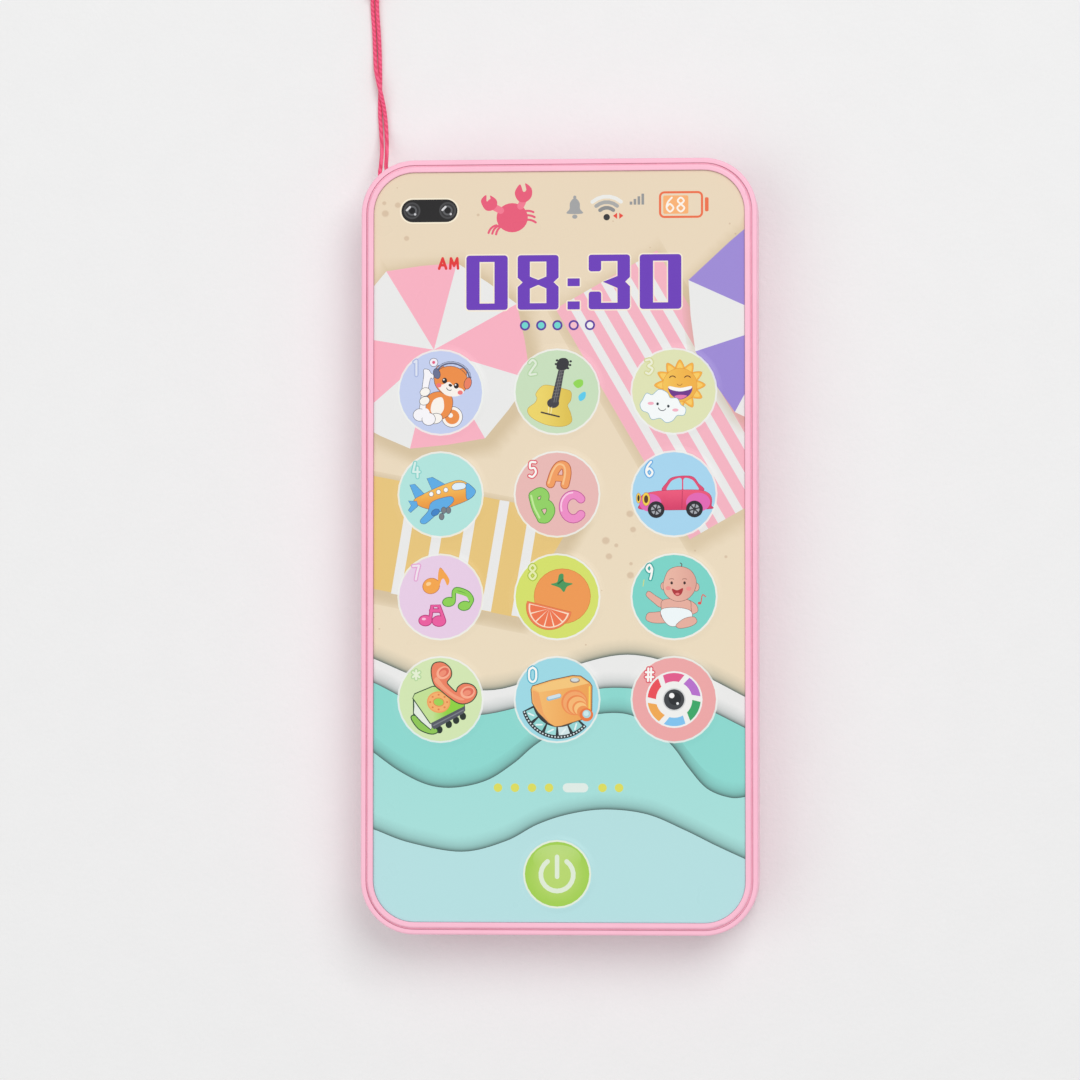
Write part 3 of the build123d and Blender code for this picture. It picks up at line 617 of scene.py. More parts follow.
# ---- lettering: clock, keypad figures and letters from pen strokes ----
# each glyph is a list of strokes on a cell one wide and one and a half high
glyphs = {
    "0": [[0.5,1.5, 0.1,1.2, 0.1,0.3, 0.5,0, 0.9,0.3, 0.9,1.2, 0.5,1.5]],
    "1": [[0.25,1.35, 0.5,1.5, 0.5,0]],
    "2": [[0.1,1.2, 0.5,1.5, 0.9,1.15, 0.5,0.6, 0.1,0, 0.9,0.05]],
    "3": [[0.1,1.4, 0.6,1.48, 0.8,1.1, 0.35,0.82, 0.9,0.5, 0.5,0, 0.1,0.12]],
    "4": [[0.35,1.5, 0.1,0.55, 0.9,0.55], [0.65,1, 0.65,0]],
    "5": [[0.85,1.5, 0.25,1.5, 0.2,0.9, 0.7,0.9, 0.9,0.45, 0.5,0, 0.1,0.1]],
    "6": [[0.7,1.5, 0.25,1, 0.12,0.4, 0.5,0, 0.88,0.4, 0.5,0.82, 0.2,0.6]],
    "7": [[0.1,1.4, 0.85,1.45, 0.6,0.7, 0.45,0]],
    "8": [[0.5,0.8, 0.15,1.15, 0.5,1.5, 0.85,1.15, 0.5,0.8, 0.1,0.4, 0.5,0, 0.9,0.4,
           0.5,0.8]],
    "9": [[0.82,1.1, 0.5,1.5, 0.15,1.1, 0.5,0.72, 0.82,1.1, 0.75,0.5, 0.6,0]],
    "*": [[0.5,1.2, 0.5,0.3], [0.1,1, 0.9,0.5], [0.1,0.5, 0.9,1]],
    "#": [[0.35,1.4, 0.3,0.1], [0.7,1.4, 0.65,0.1], [0.05,1, 0.95,1],
          [0.05,0.5, 0.95,0.5]],
    "A": [[0.05,0, 0.5,1.5, 0.95,0], [0.25,0.5, 0.75,0.5]],
    "M": [[0,0, 0.1,1.5, 0.5,0.4, 0.9,1.5, 1,0]],
}
curved_glyphs = "0235689"


def letter(symbol, x, y, height, width, colour, slim=0.9):
    """Draw a glyph with its lower left corner at x, y."""
    for stroke in glyphs[symbol]:
        line = pairs(stroke) * (height / 1.5) * (slim, 1) + (x, y)
        if symbol in curved_glyphs:
            art.append((band(smooth(line, closed=False, steps=4), width), colour, 1))
        else:
            for ends in zip(line, line[1:]):
                art.append((band(ends, width), colour, 1))


for symbol, left in (("A", -23), ("M", -20.8)):
    letter(symbol, left, 53.15, 1.95, 0.52, "e43838", slim=1.15)
for symbol, left in (("6", 20.45), ("8", 22.5)):
    letter(symbol, left, 63.7, 2.7, 0.34, "fcf6ec", slim=0.95)

PURPLE = "6c3cba"
CLOCK_LOW = 45.15
CLOCK_HIGH = 55.6


def clock_part(outlines):
    """Blocky figure with a thin pale edge."""
    for outline in outlines:
        art.append((band(outline, 0.5, closed=True), CREAM, 0.85))
    for outline in outlines:
        art.append((np.asarray(outline), PURPLE, 1))


def block(left, low, across, high, corner=0.6):
    """A solid block with round corners."""
    return box_points(left + across / 2, (low + high) / 2, across, high - low, min(corner, (high - low) / 2.1))


def bars(left, width):
    """A figure's lowest and highest bars."""
    return [block(left, CLOCK_LOW, width, CLOCK_LOW + BAR), block(left, CLOCK_HIGH - BAR, width, CLOCK_HIGH)]


WAIST = 50.4
BAR = 1.25
top, foot = CLOCK_HIGH - 0.8, CLOCK_LOW + 0.8
for left in (-17.7, 15.5):
    clock_part([block(left, CLOCK_LOW, 2.55, CLOCK_HIGH), block(left + 5.4, CLOCK_LOW, 2.55, CLOCK_HIGH)]
               + bars(left, 7.95))
eight = pairs([0, top, 2.35, top, 2.35, 51.5, 3.95, WAIST + 0.45, 5.5, 51.5, 5.5, top, 7.85, top, 7.85, 51.3,
               6.9, WAIST, 7.85, 49.5, 7.85, foot, 5.5, foot, 5.5, 49.2, 3.95, WAIST - 0.5, 2.35, 49.2,
               2.35, foot, 0, foot, 0, 49.5, 0.95, WAIST, 0, 51.3])
clock_part(bars(-7.85, 7.85) + [eight + (-7.85, 0)])
clock_part([block(1.7, 49.6, 2.35, 51.1, 0.1), block(1.7, CLOCK_LOW, 2.35, CLOCK_LOW + 1.55, 0.1)])
three = pairs([5.5, top, 7.9, top, 7.9, 51.3, 7, WAIST, 7.9, 49.5, 7.9, foot, 5.5, foot, 5.5, 49.2,
               2.7, WAIST, 5.5, 51.5])
clock_part(bars(5.75, 7.9) + [block(5.75, CLOCK_HIGH - 3.2, 2.4, CLOCK_HIGH, 0.5),
                              block(5.75, CLOCK_LOW, 2.4, CLOCK_LOW + 3.4, 0.5), three + (5.75, 0)])

for index, fill in enumerate(["70d8d0"] * 3 + ["f6becc", "f0eef0"]):
    dot_x = -6.45 + 3.11 * index
    discs(dot_x, 42.15, (0.98, "5c3ea0"), (0.62, fill))
for dot_x in (-11.6, -8.35, -5.1, -1.85, 8.35, 11.5):
    discs(dot_x, -46, (0.82, "dede5e"))
pill(3.2, -46, 4.9, 1.75, "e2eee8")

# ---- key pictures ----
PAD_MIDDLE = (-0.3, 0.1)
PITCH = (22.3, 19.55)
POWER_AT = (-0.3, -62.4)
pads = {}
for index, name in enumerate(symbols):
    pads["key_" + name] = (PAD_MIDDLE[0] + (index % 3 - 1) * PITCH[0],
        PAD_MIDDLE[1] + (1.5 - index // 3) * PITCH[1])
PAD_TONES = {
    "1": ("c5d0f0", "96a6d6"), "2": ("c9e0be", "a8cc96"),
    "3": ("e0e4b6", "cecd82"), "4": ("b2e5de", "68c4bc"),
    "5": ("eabab6", "e05c6a"), "6": ("a7d6f0", "68ace2"),
    "7": ("e9cee7", "e282c4"), "8": ("d6e26a", "96b428"),
    "9": ("7cd5c9", "2ea49c"), "star": ("d4e8b4", "a0cc8c"),
    "0": ("9edae6", "50b4ce"), "hash": ("efa8a8", "de5464")}
PALE_FIGURES = ("1", "2", "3", "4", "7", "8", "star")
for name, place in pads.items():
    symbol = name[4:]
    ground, tint = PAD_TONES[symbol]
    pen.move(*place)
    oval(0, 0, 8.3, 8.3, "f0f2ee", cover=0.85)
    oval(0, 0, 7.95, 7.95, ground)
    figure = {"star": "*", "hash": "#"}.get(symbol, symbol)
    spot = np.array(place) + (-5.45, 3.35)
    fill = "fafaf6"
    if symbol in PALE_FIGURES:
        tint = 0.55 * rgb(tint) + 0.45 * rgb(ground)
        fill = 0.5 * rgb(fill) + 0.5 * rgb(ground)
    letter(figure, *spot, 2.75, 0.85, tint, slim=0.85)
    letter(figure, *spot, 2.75, 0.4, fill, slim=0.85)

INK = "383642"

# 1: a puppy with headphones holding a bone
pen.on_key("1", INK, 0.09)
FUR = "ee8e46"
oval(-1.35, 5.75, 0.75, 0.75, "f4f0fa")
dab(-1.35, 5.75, 0.3, 0.3, "e45c82")
oval(2.2, -4.7, 1.95, 1.95, "faf6f0")
dab(2.2, -4.7, 1.4, 1.4, FUR)
dab(1.9, -4.4, 0.45, 0.45, "faf6f0")
blob([-2.6,-4, -2.7,-1.2, -1.2,0, 1.4,-0.1, 2.3,-1.8, 1.6,-4.2, -0.4,-5.2], FUR)
wash([-1.4,-1.5, 0.3,-1, 0.6,-3.2, -0.6,-4.5, -1.9,-3.6], "faf4ec")
oval(-1, -5, 1.3, 0.95, "faf6f0", turn=12)
blob([-3.2,3.4, -3.2,4.4, -2.3,4.3, -1.9,3.7, -1.4,3.3, -1.5,2.6, -2.1,2.4, -2.9,-3, -2.1,-3.8, -2.4,-4.7,
    -3.2,-4.5, -4,-5, -4.7,-4.3, -4.1,-3.3, -3.3,2.6], "f8f6fa")
for lobe in ((-4, -4.3), (-2.3, -5.1)):
    oval(*lobe, 1.25, 1.15, "f8f6fa")
dab(-3, -4, 0.9, 1, "f8f6fa")
for paw in ((-3, 0.1), (-3.1, -1.6)):
    oval(*paw, 0.95, 0.75, "faf6f0", turn=20)
blob([-0.9,4.2, -0.5,5.1, 0.6,4.9, 0.5,4.2], FUR)
blob([3.7,4.4, 4.8,4.4, 4.9,3.2, 4.2,3], FUR)
oval(2, 2.2, 3.25, 2.75, FUR, turn=-14)
wash([-0.8,1.5, 0.4,1.5, 1.6,2, 2.6,1.2, 4.2,0.6, 4.3,-0.2, 2.8,-0.8, 0.8,-0.4], "faf4ec")
for eye_at in ((0.75, 2.25), (3, 1.25)):
    dab(*eye_at, 0.48, 0.55, "262228")
    dab(eye_at[0] - 0.15, eye_at[1] + 0.18, 0.15, 0.15, "fafafa")
dab(1.85, 1.35, 0.36, 0.26, "262228", turn=-20)
arc(1.65, 0.75, 0.5, 0.35, 190, 340, 0.14, "262228", turn=-20)
dab(-0.35, 1.35, 0.5, 0.42, "f0787c")
dab(3.75, -0.05, 0.5, 0.42, "f0787c")
arc(2.3, 2.9, 3.35, 2.75, 15, 168, 0.55, "606682", turn=-14)
arc(2.3, 2.9, 3.45, 2.85, 20, 160, 0.16, "b4bcd8", turn=-14)
oval(-0.75, 3.6, 0.6, 0.95, "687092", turn=15)
oval(5.2, 1.7, 0.65, 1.1, "ec8060", turn=-14)

# 2: a guitar
pen.on_key("2", "be9834", 0.08)
blob([-4,-0.3, -2.6,1.2, -0.4,1, 1,0.6, 2.6,0, 2.6,-1.6, 2,-2.6, 2.6,-4.2, 2.7,-5.8, 0.9,-6.6, -2.2,-6.2,
    -4.9,-4.8, -5.6,-3.3, -4.2,-2.1, -3.8,-1.2], blend_x("eed668", "dec04e", -4.3, 3.7))
dab(-0.75, -2.15, 1.15, 0.95, "424048")
facet([-1.25,-2.1, 0.25,4.1, 1.45,4.3, 0.35,-1.8], "46464c")
line([-0.6,-2, 0.75,4.6], 0.1, "808084")
line([-0.2,-2, 1.05,4.6], 0.1, "747478")
for fret in range(9):
    line([(-0.85 + 0.17 * fret, -1 + 0.62 * fret), (0.25 + 0.15 * fret, -0.85 + 0.62 * fret)], 0.09, "807e7c")
wash([0.2,4.2, -0.1,5.2, 0.5,6.3, 1.7,6.4, 2.3,5.6, 1.8,4.3], "34343a")
for peg in ((0, 6), (-0.2, 5.3), (0.1, 4.6), (2.6, 5.8), (2.5, 5.1), (2.1, 4.5)):
    dab(*peg, 0.25, 0.22, "34343a")
line([-1.6,-2.9, -1.7,-4.1], 0.1, "faf0c8")
line([-1,-2.9, -1.2,-4.2], 0.1, "faf0c8")
line([-3,-3.9, 0.4,-4.75], 0.3, "423c3a")
wash([3.1,1.6, 3.9,2.3, 4.9,2.2, 4.9,1.2, 3.9,0.7], "92d854")
wash([4.1,-0.9, 4.9,-0.1, 5.5,-0.2, 5.3,-1.3, 4.4,-1.8], "5cccec")

# 3: a laughing sun behind a small cloud
pen.on_key("3", "de8e32", 0.07)
SUN_AT = (1.15, 1.15)
for ray in range(12):
    for reach, half, colour in ((4.85, 13, "f6b242"), (4.35, 8, "face64")):
        rim = [polar(*SUN_AT, r, 30 * ray + turn)
               for r, turn in ((2.9, -half), (3.6, -half), (reach, 0), (3.6, half), (2.9, half))]
        (blob if reach > 4.5 else wash)(rim, colour)
oval(*SUN_AT, 3.25, 3.2, blend_x("f8d060", "f2b246", 16, 26))
for eye_x in (-0.25, 2.6):
    arc(eye_x, 2.4, 0.6, 0.5, 25, 155, 0.2, "6e4022")
arc(1.1, 1.5, 0.5, 0.4, 200, 340, 0.14, "b07432")
wash([-1,0.9, 1.2,0.55, 3.4,0.9, 3.1,-0.6, 1.3,-1.6, -0.5,-0.7], "6e348c")
wash([-0.9,0.95, 1.2,0.62, 3.3,0.95, 3.1,0.35, 1.2,-0.05, -0.7,0.35], "fafaf8")
wash([0.1,-1, 1.2,-0.7, 2.5,-0.9, 1.3,-1.5], "e478b0")
pen.on_key("3", "70a8c4", 0.1)
blob([-5.9,-1.6, -5.2,-0.4, -4.1,-0.7, -2.8,0.3, -1.3,-0.3, -0.7,-1.3, 0.6,-1.4, 1.3,-2.6, 2.2,-3.3, 1.9,-4.5,
    0.6,-4.6, -0.3,-5.6, -1.5,-5.9, -2.6,-5.1, -4.2,-5.3, -4.9,-4.1, -6,-3.6, -6.4,-2.5], "f6fafa")
for spot in ((-3.1, -2.4), (-1.05, -2.85)):
    dab(*spot, 0.24, 0.28, "28323c")
arc(-2.2, -3, 0.75, 0.7, 195, 330, 0.14, "28323c")
dab(-4.4, -2.3, 0.6, 0.3, "f6b2c4")
dab(0.3, -3.6, 0.6, 0.3, "f6b2c4")

# 4: an aeroplane
pen.on_key("4", "3c546e", 0.08)
BLUE = "5cace6"
shape([-2.6,3.1, -1.6,3.3, 0.8,2, -1.6,0.8], BLUE)
shape([-5.9,1.9, -5,2, -3,0, -4.8,-0.8], BLUE)
blob([-5,-0.9, -3.4,0, -1.4,1, 1,2, 3.6,2.7, 5.6,1.8, 6.6,0.6, 5.9,-0.6, 3.4,-1.8, -0.2,-2.9, -3.2,-2.5,
    -4.8,-1.6], blend_tones("ec963c", "f8be56", lambda x, y: fade(7.5, 11.5)(y - 0.15 * (x + 22))))
blob([5,2.1, 6,1.5, 6.7,0.6, 6.1,-0.4, 5.1,-0.9, 4.9,0.6], BLUE)
blob([2.2,1.6, 3,2.2, 4.6,2.1, 4.6,1.2, 2.6,0.9], "e2f0fa")
for spot in ((-1.8, 0.1), (-0.4, 0.5), (1, 0.9)):
    oval(*spot, 0.4, 0.42, "fafcfc")
shape([-6.2,-1.2, -4.6,-1.3, -4.4,-2.2, -5.8,-3.4, -6.2,-3, -5.6,-2.1], BLUE)
blob([1.6,-0.4, 2.5,-1, 1.6,-2.2, -0.6,-3.6, -2.9,-5.5, -3.9,-5, -2.4,-3.2, -1.6,-1.4], BLUE)
for spot in ((0.2, -4.2), (1.5, -3), (0.6, -3)):
    oval(*spot, 0.45, 0.6, "787e84")
oval(-1, -3.4, 0.8, 0.55, "3c82c8", turn=30)

# 5: three letters
pen.on_key("5")
for shade, width, shift in (("ba5c32", 1.75, 0), ("f39e60", 1.45, 0), ("fac48c", 0.35, 0.35)):
    line(pairs([-1.25,2, -0.5,4.2, 0.5,5.5, 1.6,5.3, 1.9,3.9, 1.5,1.8]) + (-shift, shift * 0.4),
         width, shade, curved=True)
    if not shift:
        line([-0.5,3.1, 1.6,3], width * 0.75, shade)
for shade, width, shift in (("54963c", 1.75, 0), ("92d264", 1.45, 0), ("c4ec9c", 0.35, 0.35)):
    line(np.array([(-4.6, -0.4), (-4, -2.6), (-3, -4.6)]) + (-shift, shift * 0.4), width, shade, curved=True)
    if not shift:
        line([-4.6,-0.2, -3.2,0.5, -2.3,-0.2, -2.7,-1.6, -3.8,-1.9], width, shade, curved=True)
        line([-3.4,-2.2, -1.8,-1.9, -1.2,-3.2, -2,-4.6, -3,-4.7], width, shade, curved=True)
for shade, width in (("be5496", 1.75), ("f08ec8", 1.45)):
    arc(3.1, -2.4, 1.9, 2.3, 40, 320, width, shade)
arc(2.95, -2.3, 2.2, 2.6, 90, 200, 0.3, "fccce6")

# 6: a small car
pen.on_key("6", "962854", 0.06)
blob([-1.9,0.4, -1.3,2.2, -0.3,3.1, 1.8,3.4, 3.6,3.2, 4.6,2, 5.4,0.5], "e24a74")
wash([-1.3,0.6, -0.8,2, 0,2.7, 1.4,2.9, 1.4,0.7], "a0d8f0")
wash([1.9,0.7, 1.9,2.9, 3.4,2.7, 4.2,1.8, 4.6,0.7], "a0d8f0")
blob([-6.5,-1.9, -6.1,-0.3, -4.4,0.3, -2,0.6, 2,0.75, 5.4,0.6, 7,-0.4, 7.1,-2.2, 6.4,-2.9, -5.6,-3],
    blend_y("d63c68", "ee587c", 6.5, 10.5))
dab(-4.5, -1.7, 2.1, 1.7, "e468b6")
dab(4.6, -1.6, 2.3, 1.8, "e468b6")
line([1.6,0.6, 1.5,-2.8], 0.1, "aa2854")
line([1.65,0.9, 1.65,3], 0.25, "e24a74")
for wheel in ((-3.4, -3), (3.9, -2.9)):
    dab(*wheel, 1.6, 1.6, "28282e")
    dab(*wheel, 0.95, 0.95, "a8acb2")
    for spoke in range(3):
        turn = 60 * spoke + 15
        line([polar(*wheel, -0.9, turn), polar(*wheel, 0.9, turn)], 0.26, "323238")
oval(-5.3, -1, 0.72, 1.25, "f4d04c")
dab(-5.3, -1, 0.4, 0.75, "5a3c28")
oval(-6.75, -0.8, 0.42, 0.95, "f4d04c")
dab(-6.75, -0.8, 0.22, 0.6, "3c3232")

# 7: notes
pen.on_key("7")
for shade, width, body in (("b46028", 0.3, 1.7), ("f6a64a", 0, 1.6)):
    oval(-1.8, 2.1, body, body * 0.9, shade, turn=20)
    blob([(-0.3, 2), (-0.5, 3.9), (-0.1, 5.5 + width / 3), (0.9, 4.6), (1.7, 3.2), (1.3, 2.2), (0.7, 3.4),
        (0.2, 3.3)], shade)
oval(-2.3, 2.5, 0.5, 0.35, "fcd296", turn=20)
for shade, grow in (("408c2c", 0.16), ("8ed254", 0)):
    oval(1.6, -0.95, 1.15 + grow, 0.8 + grow, shade, turn=8)
    oval(4.6, -1.7, 1.15 + grow, 0.8 + grow, shade, turn=8)
    line([2.5,-0.8, 2.8,1.4, 5,0.9, 6,-0.4, 5.6,-1.5], 0.55 + 2 * grow, shade, curved=True)
    line([2.9,1, 5,0.3, 5.6,-0.5], 0.5, shade, curved=True)
for shade, grow in (("b42874", 0.16), ("ec5ca0", 0)):
    oval(-2.9, -4.5, 1.2 + grow, 0.95 + grow, shade)
    oval(-0.3, -4.6, 1.25 + grow, 0.95 + grow, shade)
    line([-2,-4.3, -1.6,-1.7, -0.3,-1.7, 0.6,-4.2], 0.5 + 2 * grow, shade)
    line([-1.8,-2.6, 0,-2.6], 0.55 + 2 * grow, shade)
oval(-3.2, -4.2, 0.4, 0.25, "fabedc")

# 8: an orange with a cut slice
pen.on_key("8", "ce6c2e", 0.08)
oval(1, 0.1, 5.35, 5.2, blend_tones("f7ac62", "f09a52", lambda x, y: fade(-12, 0)(-y)))
wash([-1.2,2.4, 0,2.8, 0.4,4.2, 1.2,4.3, 1.4,2.9, 3,2.5, 1.9,1.9, 1.3,0.9, 0.5,1.7], "48985c")
line([0.2,2.5, 1.1,3.2], 0.3, "2e7042")
tilt = -14
shape(ring_points(-1.5, -1.9, 4.35, 4.35, tilt, 180, 360, 24), "ee7e54")
facet(ring_points(-1.5, -2.05, 3.95, 3.85, tilt, 182, 358, 24), "fce2c8")
for wedge in range(6):
    first = 184 + 29 * wedge
    points = np.vstack([[(-1.5, -2.25)], ring_points(-1.5, -2.1, 3.65, 3.6, tilt, first, first + 25, 6)])
    facet(points, "f0764e")

# 9: a sitting baby
pen.on_key("9", "784a46", 0.08)
SKIN = "e8b0a0"
line([1.3,5.5, 1.5,6.1, 1.2,6.4], 0.16, "60423c", curved=True)
blob([-1.7,-3, -3.8,-3, -5,-3.2, -5.3,-4.3, -4.2,-4.9, -2.4,-5, -1.2,-4.7], SKIN)
blob([-1.9,-1, -3.6,0.2, -4.8,1, -5.3,0.4, -4.9,-0.2, -4,-1, -2.6,-2], SKIN)
blob([2.4,-0.7, 4,-1.4, 4.5,-2.7, 3.4,-3.3, 2.3,-2.6], SKIN)
blob([-1.9,-0.6, -2.4,-2.4, -2.2,-4, 0.4,-4.6, 3,-3.9, 3.2,-2.2, 2.6,-0.6], SKIN)
blob([-2.3,-2.4, 0.4,-2.1, 2.9,-2.6, 3.4,-3.8, 1.8,-4.6, 0.2,-5.6, -1.2,-5.3, -2.3,-3.8], "f0f8fa")
blob([2.2,-4.1, 3.8,-3.9, 4.3,-4.8, 3.2,-5.6, 1.2,-6, 0.4,-5.6, 0.9,-4.9], SKIN)
oval(-2, 2, 0.5, 0.7, SKIN)
oval(4.2, 1.8, 0.55, 0.75, SKIN)
blob([-1.9,3, -1,5, 1,5.7, 3.1,5, 4.2,3, 3.7,0.8, 2.2,-0.6, 0.2,-0.8, -1.4,0.2, -2,1.6], blend_x("ecb8a6",
    "e0a496", 20, 28))
for eye_x in (-0.45, 2):
    dab(eye_x, 2.6, 0.24, 0.3, "3c2828")
    arc(eye_x, 3.1, 0.55, 0.3, 40, 140, 0.12, "96645a")
dab(-1.1, 1.6, 0.5, 0.4, "f09690")
dab(2.8, 1.5, 0.5, 0.4, "f09690")
wash([-0.4,1.5, 0.6,1.2, 1.7,1.6, 1.4,0.5, 0.6,0.1, -0.1,0.6], "b0343a")
dab(0.65, 0.5, 0.4, 0.22, "ec8282")
line([5.1,-1.2, 5.4,0.3, 6,0], 0.2, "e05454", curved=True)
dab(4.85, -1.25, 0.35, 0.27, "e05454")
line([-5.9,2, -5.7,3.2], 0.16, "d8dc78")

# star: a telephone
pen.on_key("star", "244830", 0.2)
facet([-5.3,0.2, -5.25,-3.4, -3.4,-5, -1,-6.4, -0.2,-6, -1.6,-4], "244830")
for foot in ((-0.2, -5.75), (1.6, -4.75), (3, -3.95), (4.3, -3.2)):
    dab(*foot, 0.62, 0.72, "22302a")
blob([-5.5,-3.7, -5.1,-3.1, -3.2,-4, -1.2,-5.3, -0.6,-6.1, -1.4,-6.5, -2.6,-6.3, -4.2,-5.5], "8ec854")
shape([-5.1,0, -5,-1.3, -5.1,-2.6, -3.6,-4.2, -1.8,-5.7, -1.4,-4.4], "e6eee2")
shape([-5.25,0.3, -4.9,1, -1.5,2.4, 0.4,2.5, 4.6,-0.8, 4.5,-1.3, -1.4,-4.7, -1.9,-4.5], blend_x("c4e296", "8ed23e",
    -24.5, -21))
facet([-1.8,-4.5, 4.7,-1.2, 4.75,-2.1, 4.3,-2.7, -1.2,-5.7, -1.7,-5.2], "545862")
line([-1.3,-4.95, 4.4,-2], 0.22, "7c808a")
dab(-0.35, -0.5, 2.25, 2.05, "f2a05c", turn=-10)
dab(-0.35, -0.5, 2, 1.8, "f6b26c", turn=-10)
dab(-0.35, -0.5, 1.1, 0.85, "e88450", turn=-10)
dab(-0.35, -0.5, 0.95, 0.7, "9ed454", turn=-10)
for x, y in ring_points(-0.35, -0.5, 1.62, 1.4, count=8):
    dab(x, y, 0.2, 0.18, "e47e48")
blob([-1.7,5.4, -1.2,6.8, 0.4,7, 1.8,5.9, 2,4.5, 1.2,3.3, 1.8,2.4, 3,1.4, 3.4,2.3, 4.6,3, 6.2,2.6, 6.9,1.4, 6.2,0,
    4.9,-0.7, 3.4,-0.6, 1.8,0.4, 0.2,1.7, -1.2,3], "ee8060")
wash([-1.2,3.6, 0,2.3, 1.9,0.8, 3.6,-0.1, 4.6,0, 2.6,1, 0.8,2.5, -0.6,4.2], "f6a07e")
for cup, tip in (((0.55, 5.1), 35), ((5.2, 1.35), 15)):
    dab(*cup, 1.4, 1.15, "fab092", turn=tip)
    dab(cup[0] + 0.1, cup[1] + 0.1, 1.05, 0.8, "e26c58", turn=tip)
    dab(cup[0] - 0.1, cup[1] - 0.1, 0.75, 0.5, "f29074", turn=tip)

# 0: a camera with a strip of film
pen.on_key("0", "684a34", 0.16)
REEL = (0.3, -0.3)
facet(np.vstack([ring_points(*REEL, 7.2, 7.2, 0, 196, 318, 30), ring_points(*REEL, 4.4, 4.4, 0, 318, 188, 24)]),
    "2c3438")
for frame_index, glass in enumerate(["96d8d6", "8ed4d0", "a0dedc", "d2e8ea", "96d6d6"]):
    first = 195 + 24.5 * frame_index
    outer = ring_points(*REEL, 6.5, 6.5, 0, first + 2, first + 21, 6)
    inner = ring_points(*REEL, 4.95, 4.95, 0, first, first + 21, 5)[::-1]
    facet(np.vstack([outer, inner]), glass)
    line([polar(*REEL, 6.2, first + 7), polar(*REEL, 5.5, first + 15)], 0.3, "e8f6f6")
for hole in range(24):
    dab(*polar(*REEL, 6.85, 198 + 5.1 * hole), 0.15, 0.15, "e0ecee")
shape([-4.9,1.9, -4.7,2.5, -1.2,3.6, 3,4.5, 4.5,4.4, 6.2,3.2, 6.6,2.6, 6.55,-2.2, 5.2,-3.6, 0.7,-5, -0.4,-5.1,
    -1.6,-4.4, -3.6,-2.4, -4.7,-0.6], blend_x("f7be70", "f0a454", -6, 6))
facet([-4.6,2.2, -1.2,3.4, 3,4.3, 4.4,4.2, 6.1,3.1, 2.8,2.3, -3.4,1.4], "f7c87c")
facet([-4.7,1.8, -3.5,1.3, -2.6,-2.6, -1.2,-4.7, -3.5,-2.4, -4.55,-0.6], "f2a864")
line([6.2,2.4, 6.15,-2], 0.3, "fad660")
line([-1.6,0.15, 0.4,0.7], 0.85, "96bed0")
line([-1.5,0.3, 0.4,0.8], 0.6, "cee2ec")
dab(3.4, 3.65, 0.95, 0.5, "96887c")
dab(3.4, 3.75, 0.75, 0.36, "d4dcde")
for radius, spot, colour in ((2.5, (3.3, -0.55), "f08e52"), (2.25, (3.4, -0.65), "f5a86a"), (1.95, (3.75, -1.05),
    "ee884c"), (1.75, (3.9, -1.15), "f8b874"), (1.45, (4.35, -1.65), "f09252"), (1.25, (4.5, -1.75), "fac47e"),
    (1.2, (5, -2.35), "f09654"), (1.3, (5.6, -2.9), "ec7a3e")):
    dab(*spot, radius, radius * 0.97, colour)
dab(5.65, -2.75, 0.8, 0.78, "acd6dc")
dab(5.55, -2.65, 0.5, 0.48, "ceecf0")

# hash: a camera lens with coloured blades
pen.on_key("hash")
oval(0, 0, 5.4, 5.4, "f2f2f0")
for blade, colour in enumerate(["e45c8e", "ec4e58", "f2aa52", "80c4f0", "38a868", "b870ce"]):
    first = 67 + 60 * blade
    outer = ring_points(0, 0, 5.05, 5.05, 0, first, first + 48, 8)
    inner = ring_points(0, 0, 3.45, 3.45, 0, first + 8, first + 52, 8)[::-1]
    shape(np.vstack([outer, inner]), colour)
oval(0, 0, 2.2, 2.2, "d6d8d8")
oval(0, 0, 1.95, 1.95, "3e4246")
oval(0.15, 0.15, 1.2, 1.2, "262a2e")
oval(-0.45, 0.75, 0.5, 0.5, "fafafa")
oval(0.65, -0.75, 0.25, 0.25, "ecf0f0")

# power key
pen.move(*POWER_AT)
oval(0, 0, 6.5, 6.5, "e6f0de")
oval(0, 0, 6.15, 6.15, blend_tones("bada70", "a3d150", lambda x, y: fade(2, 6.4)(np.hypot(x - POWER_AT[0],
    y - POWER_AT[1]))))
oval(0, 2.9, 4.6, 2.7, "f0f6e0", cover=lambda x, y: 0.30 * fade(POWER_AT[1] + 1, POWER_AT[1] + 5.6)(y))
arc(0, -0.1, 3.1, 3.1, -234, 54, 0.9, "e2eed8")
line([0,3.3, 0,-0.5], 0.85, "e2eed8")

# ---- screen film and key patches ----
FILM_TOP = 13.5
FILM_THICK = 0.35
FILM_SIZE = (70.9, 143.1)
FILM_CORNER = 7.85
GRID = 1.5                         # pitch of the film's inner points
PAD_RINGS = (9.3, 8.85, 8.4, 8.0)  # outlines in each patch, so that its raised middle can slope down to its rim
POWER_RINGS = (7.5, 7.1, 6.75, 6.4)
RING_COUNT = 96
PATCH_THICK = 0.08
PATCH_RISE = 0.12
pad_rings = {name: (place, PAD_RINGS) for name, place in pads.items()}
pad_rings["power_key"] = (POWER_AT, POWER_RINGS)

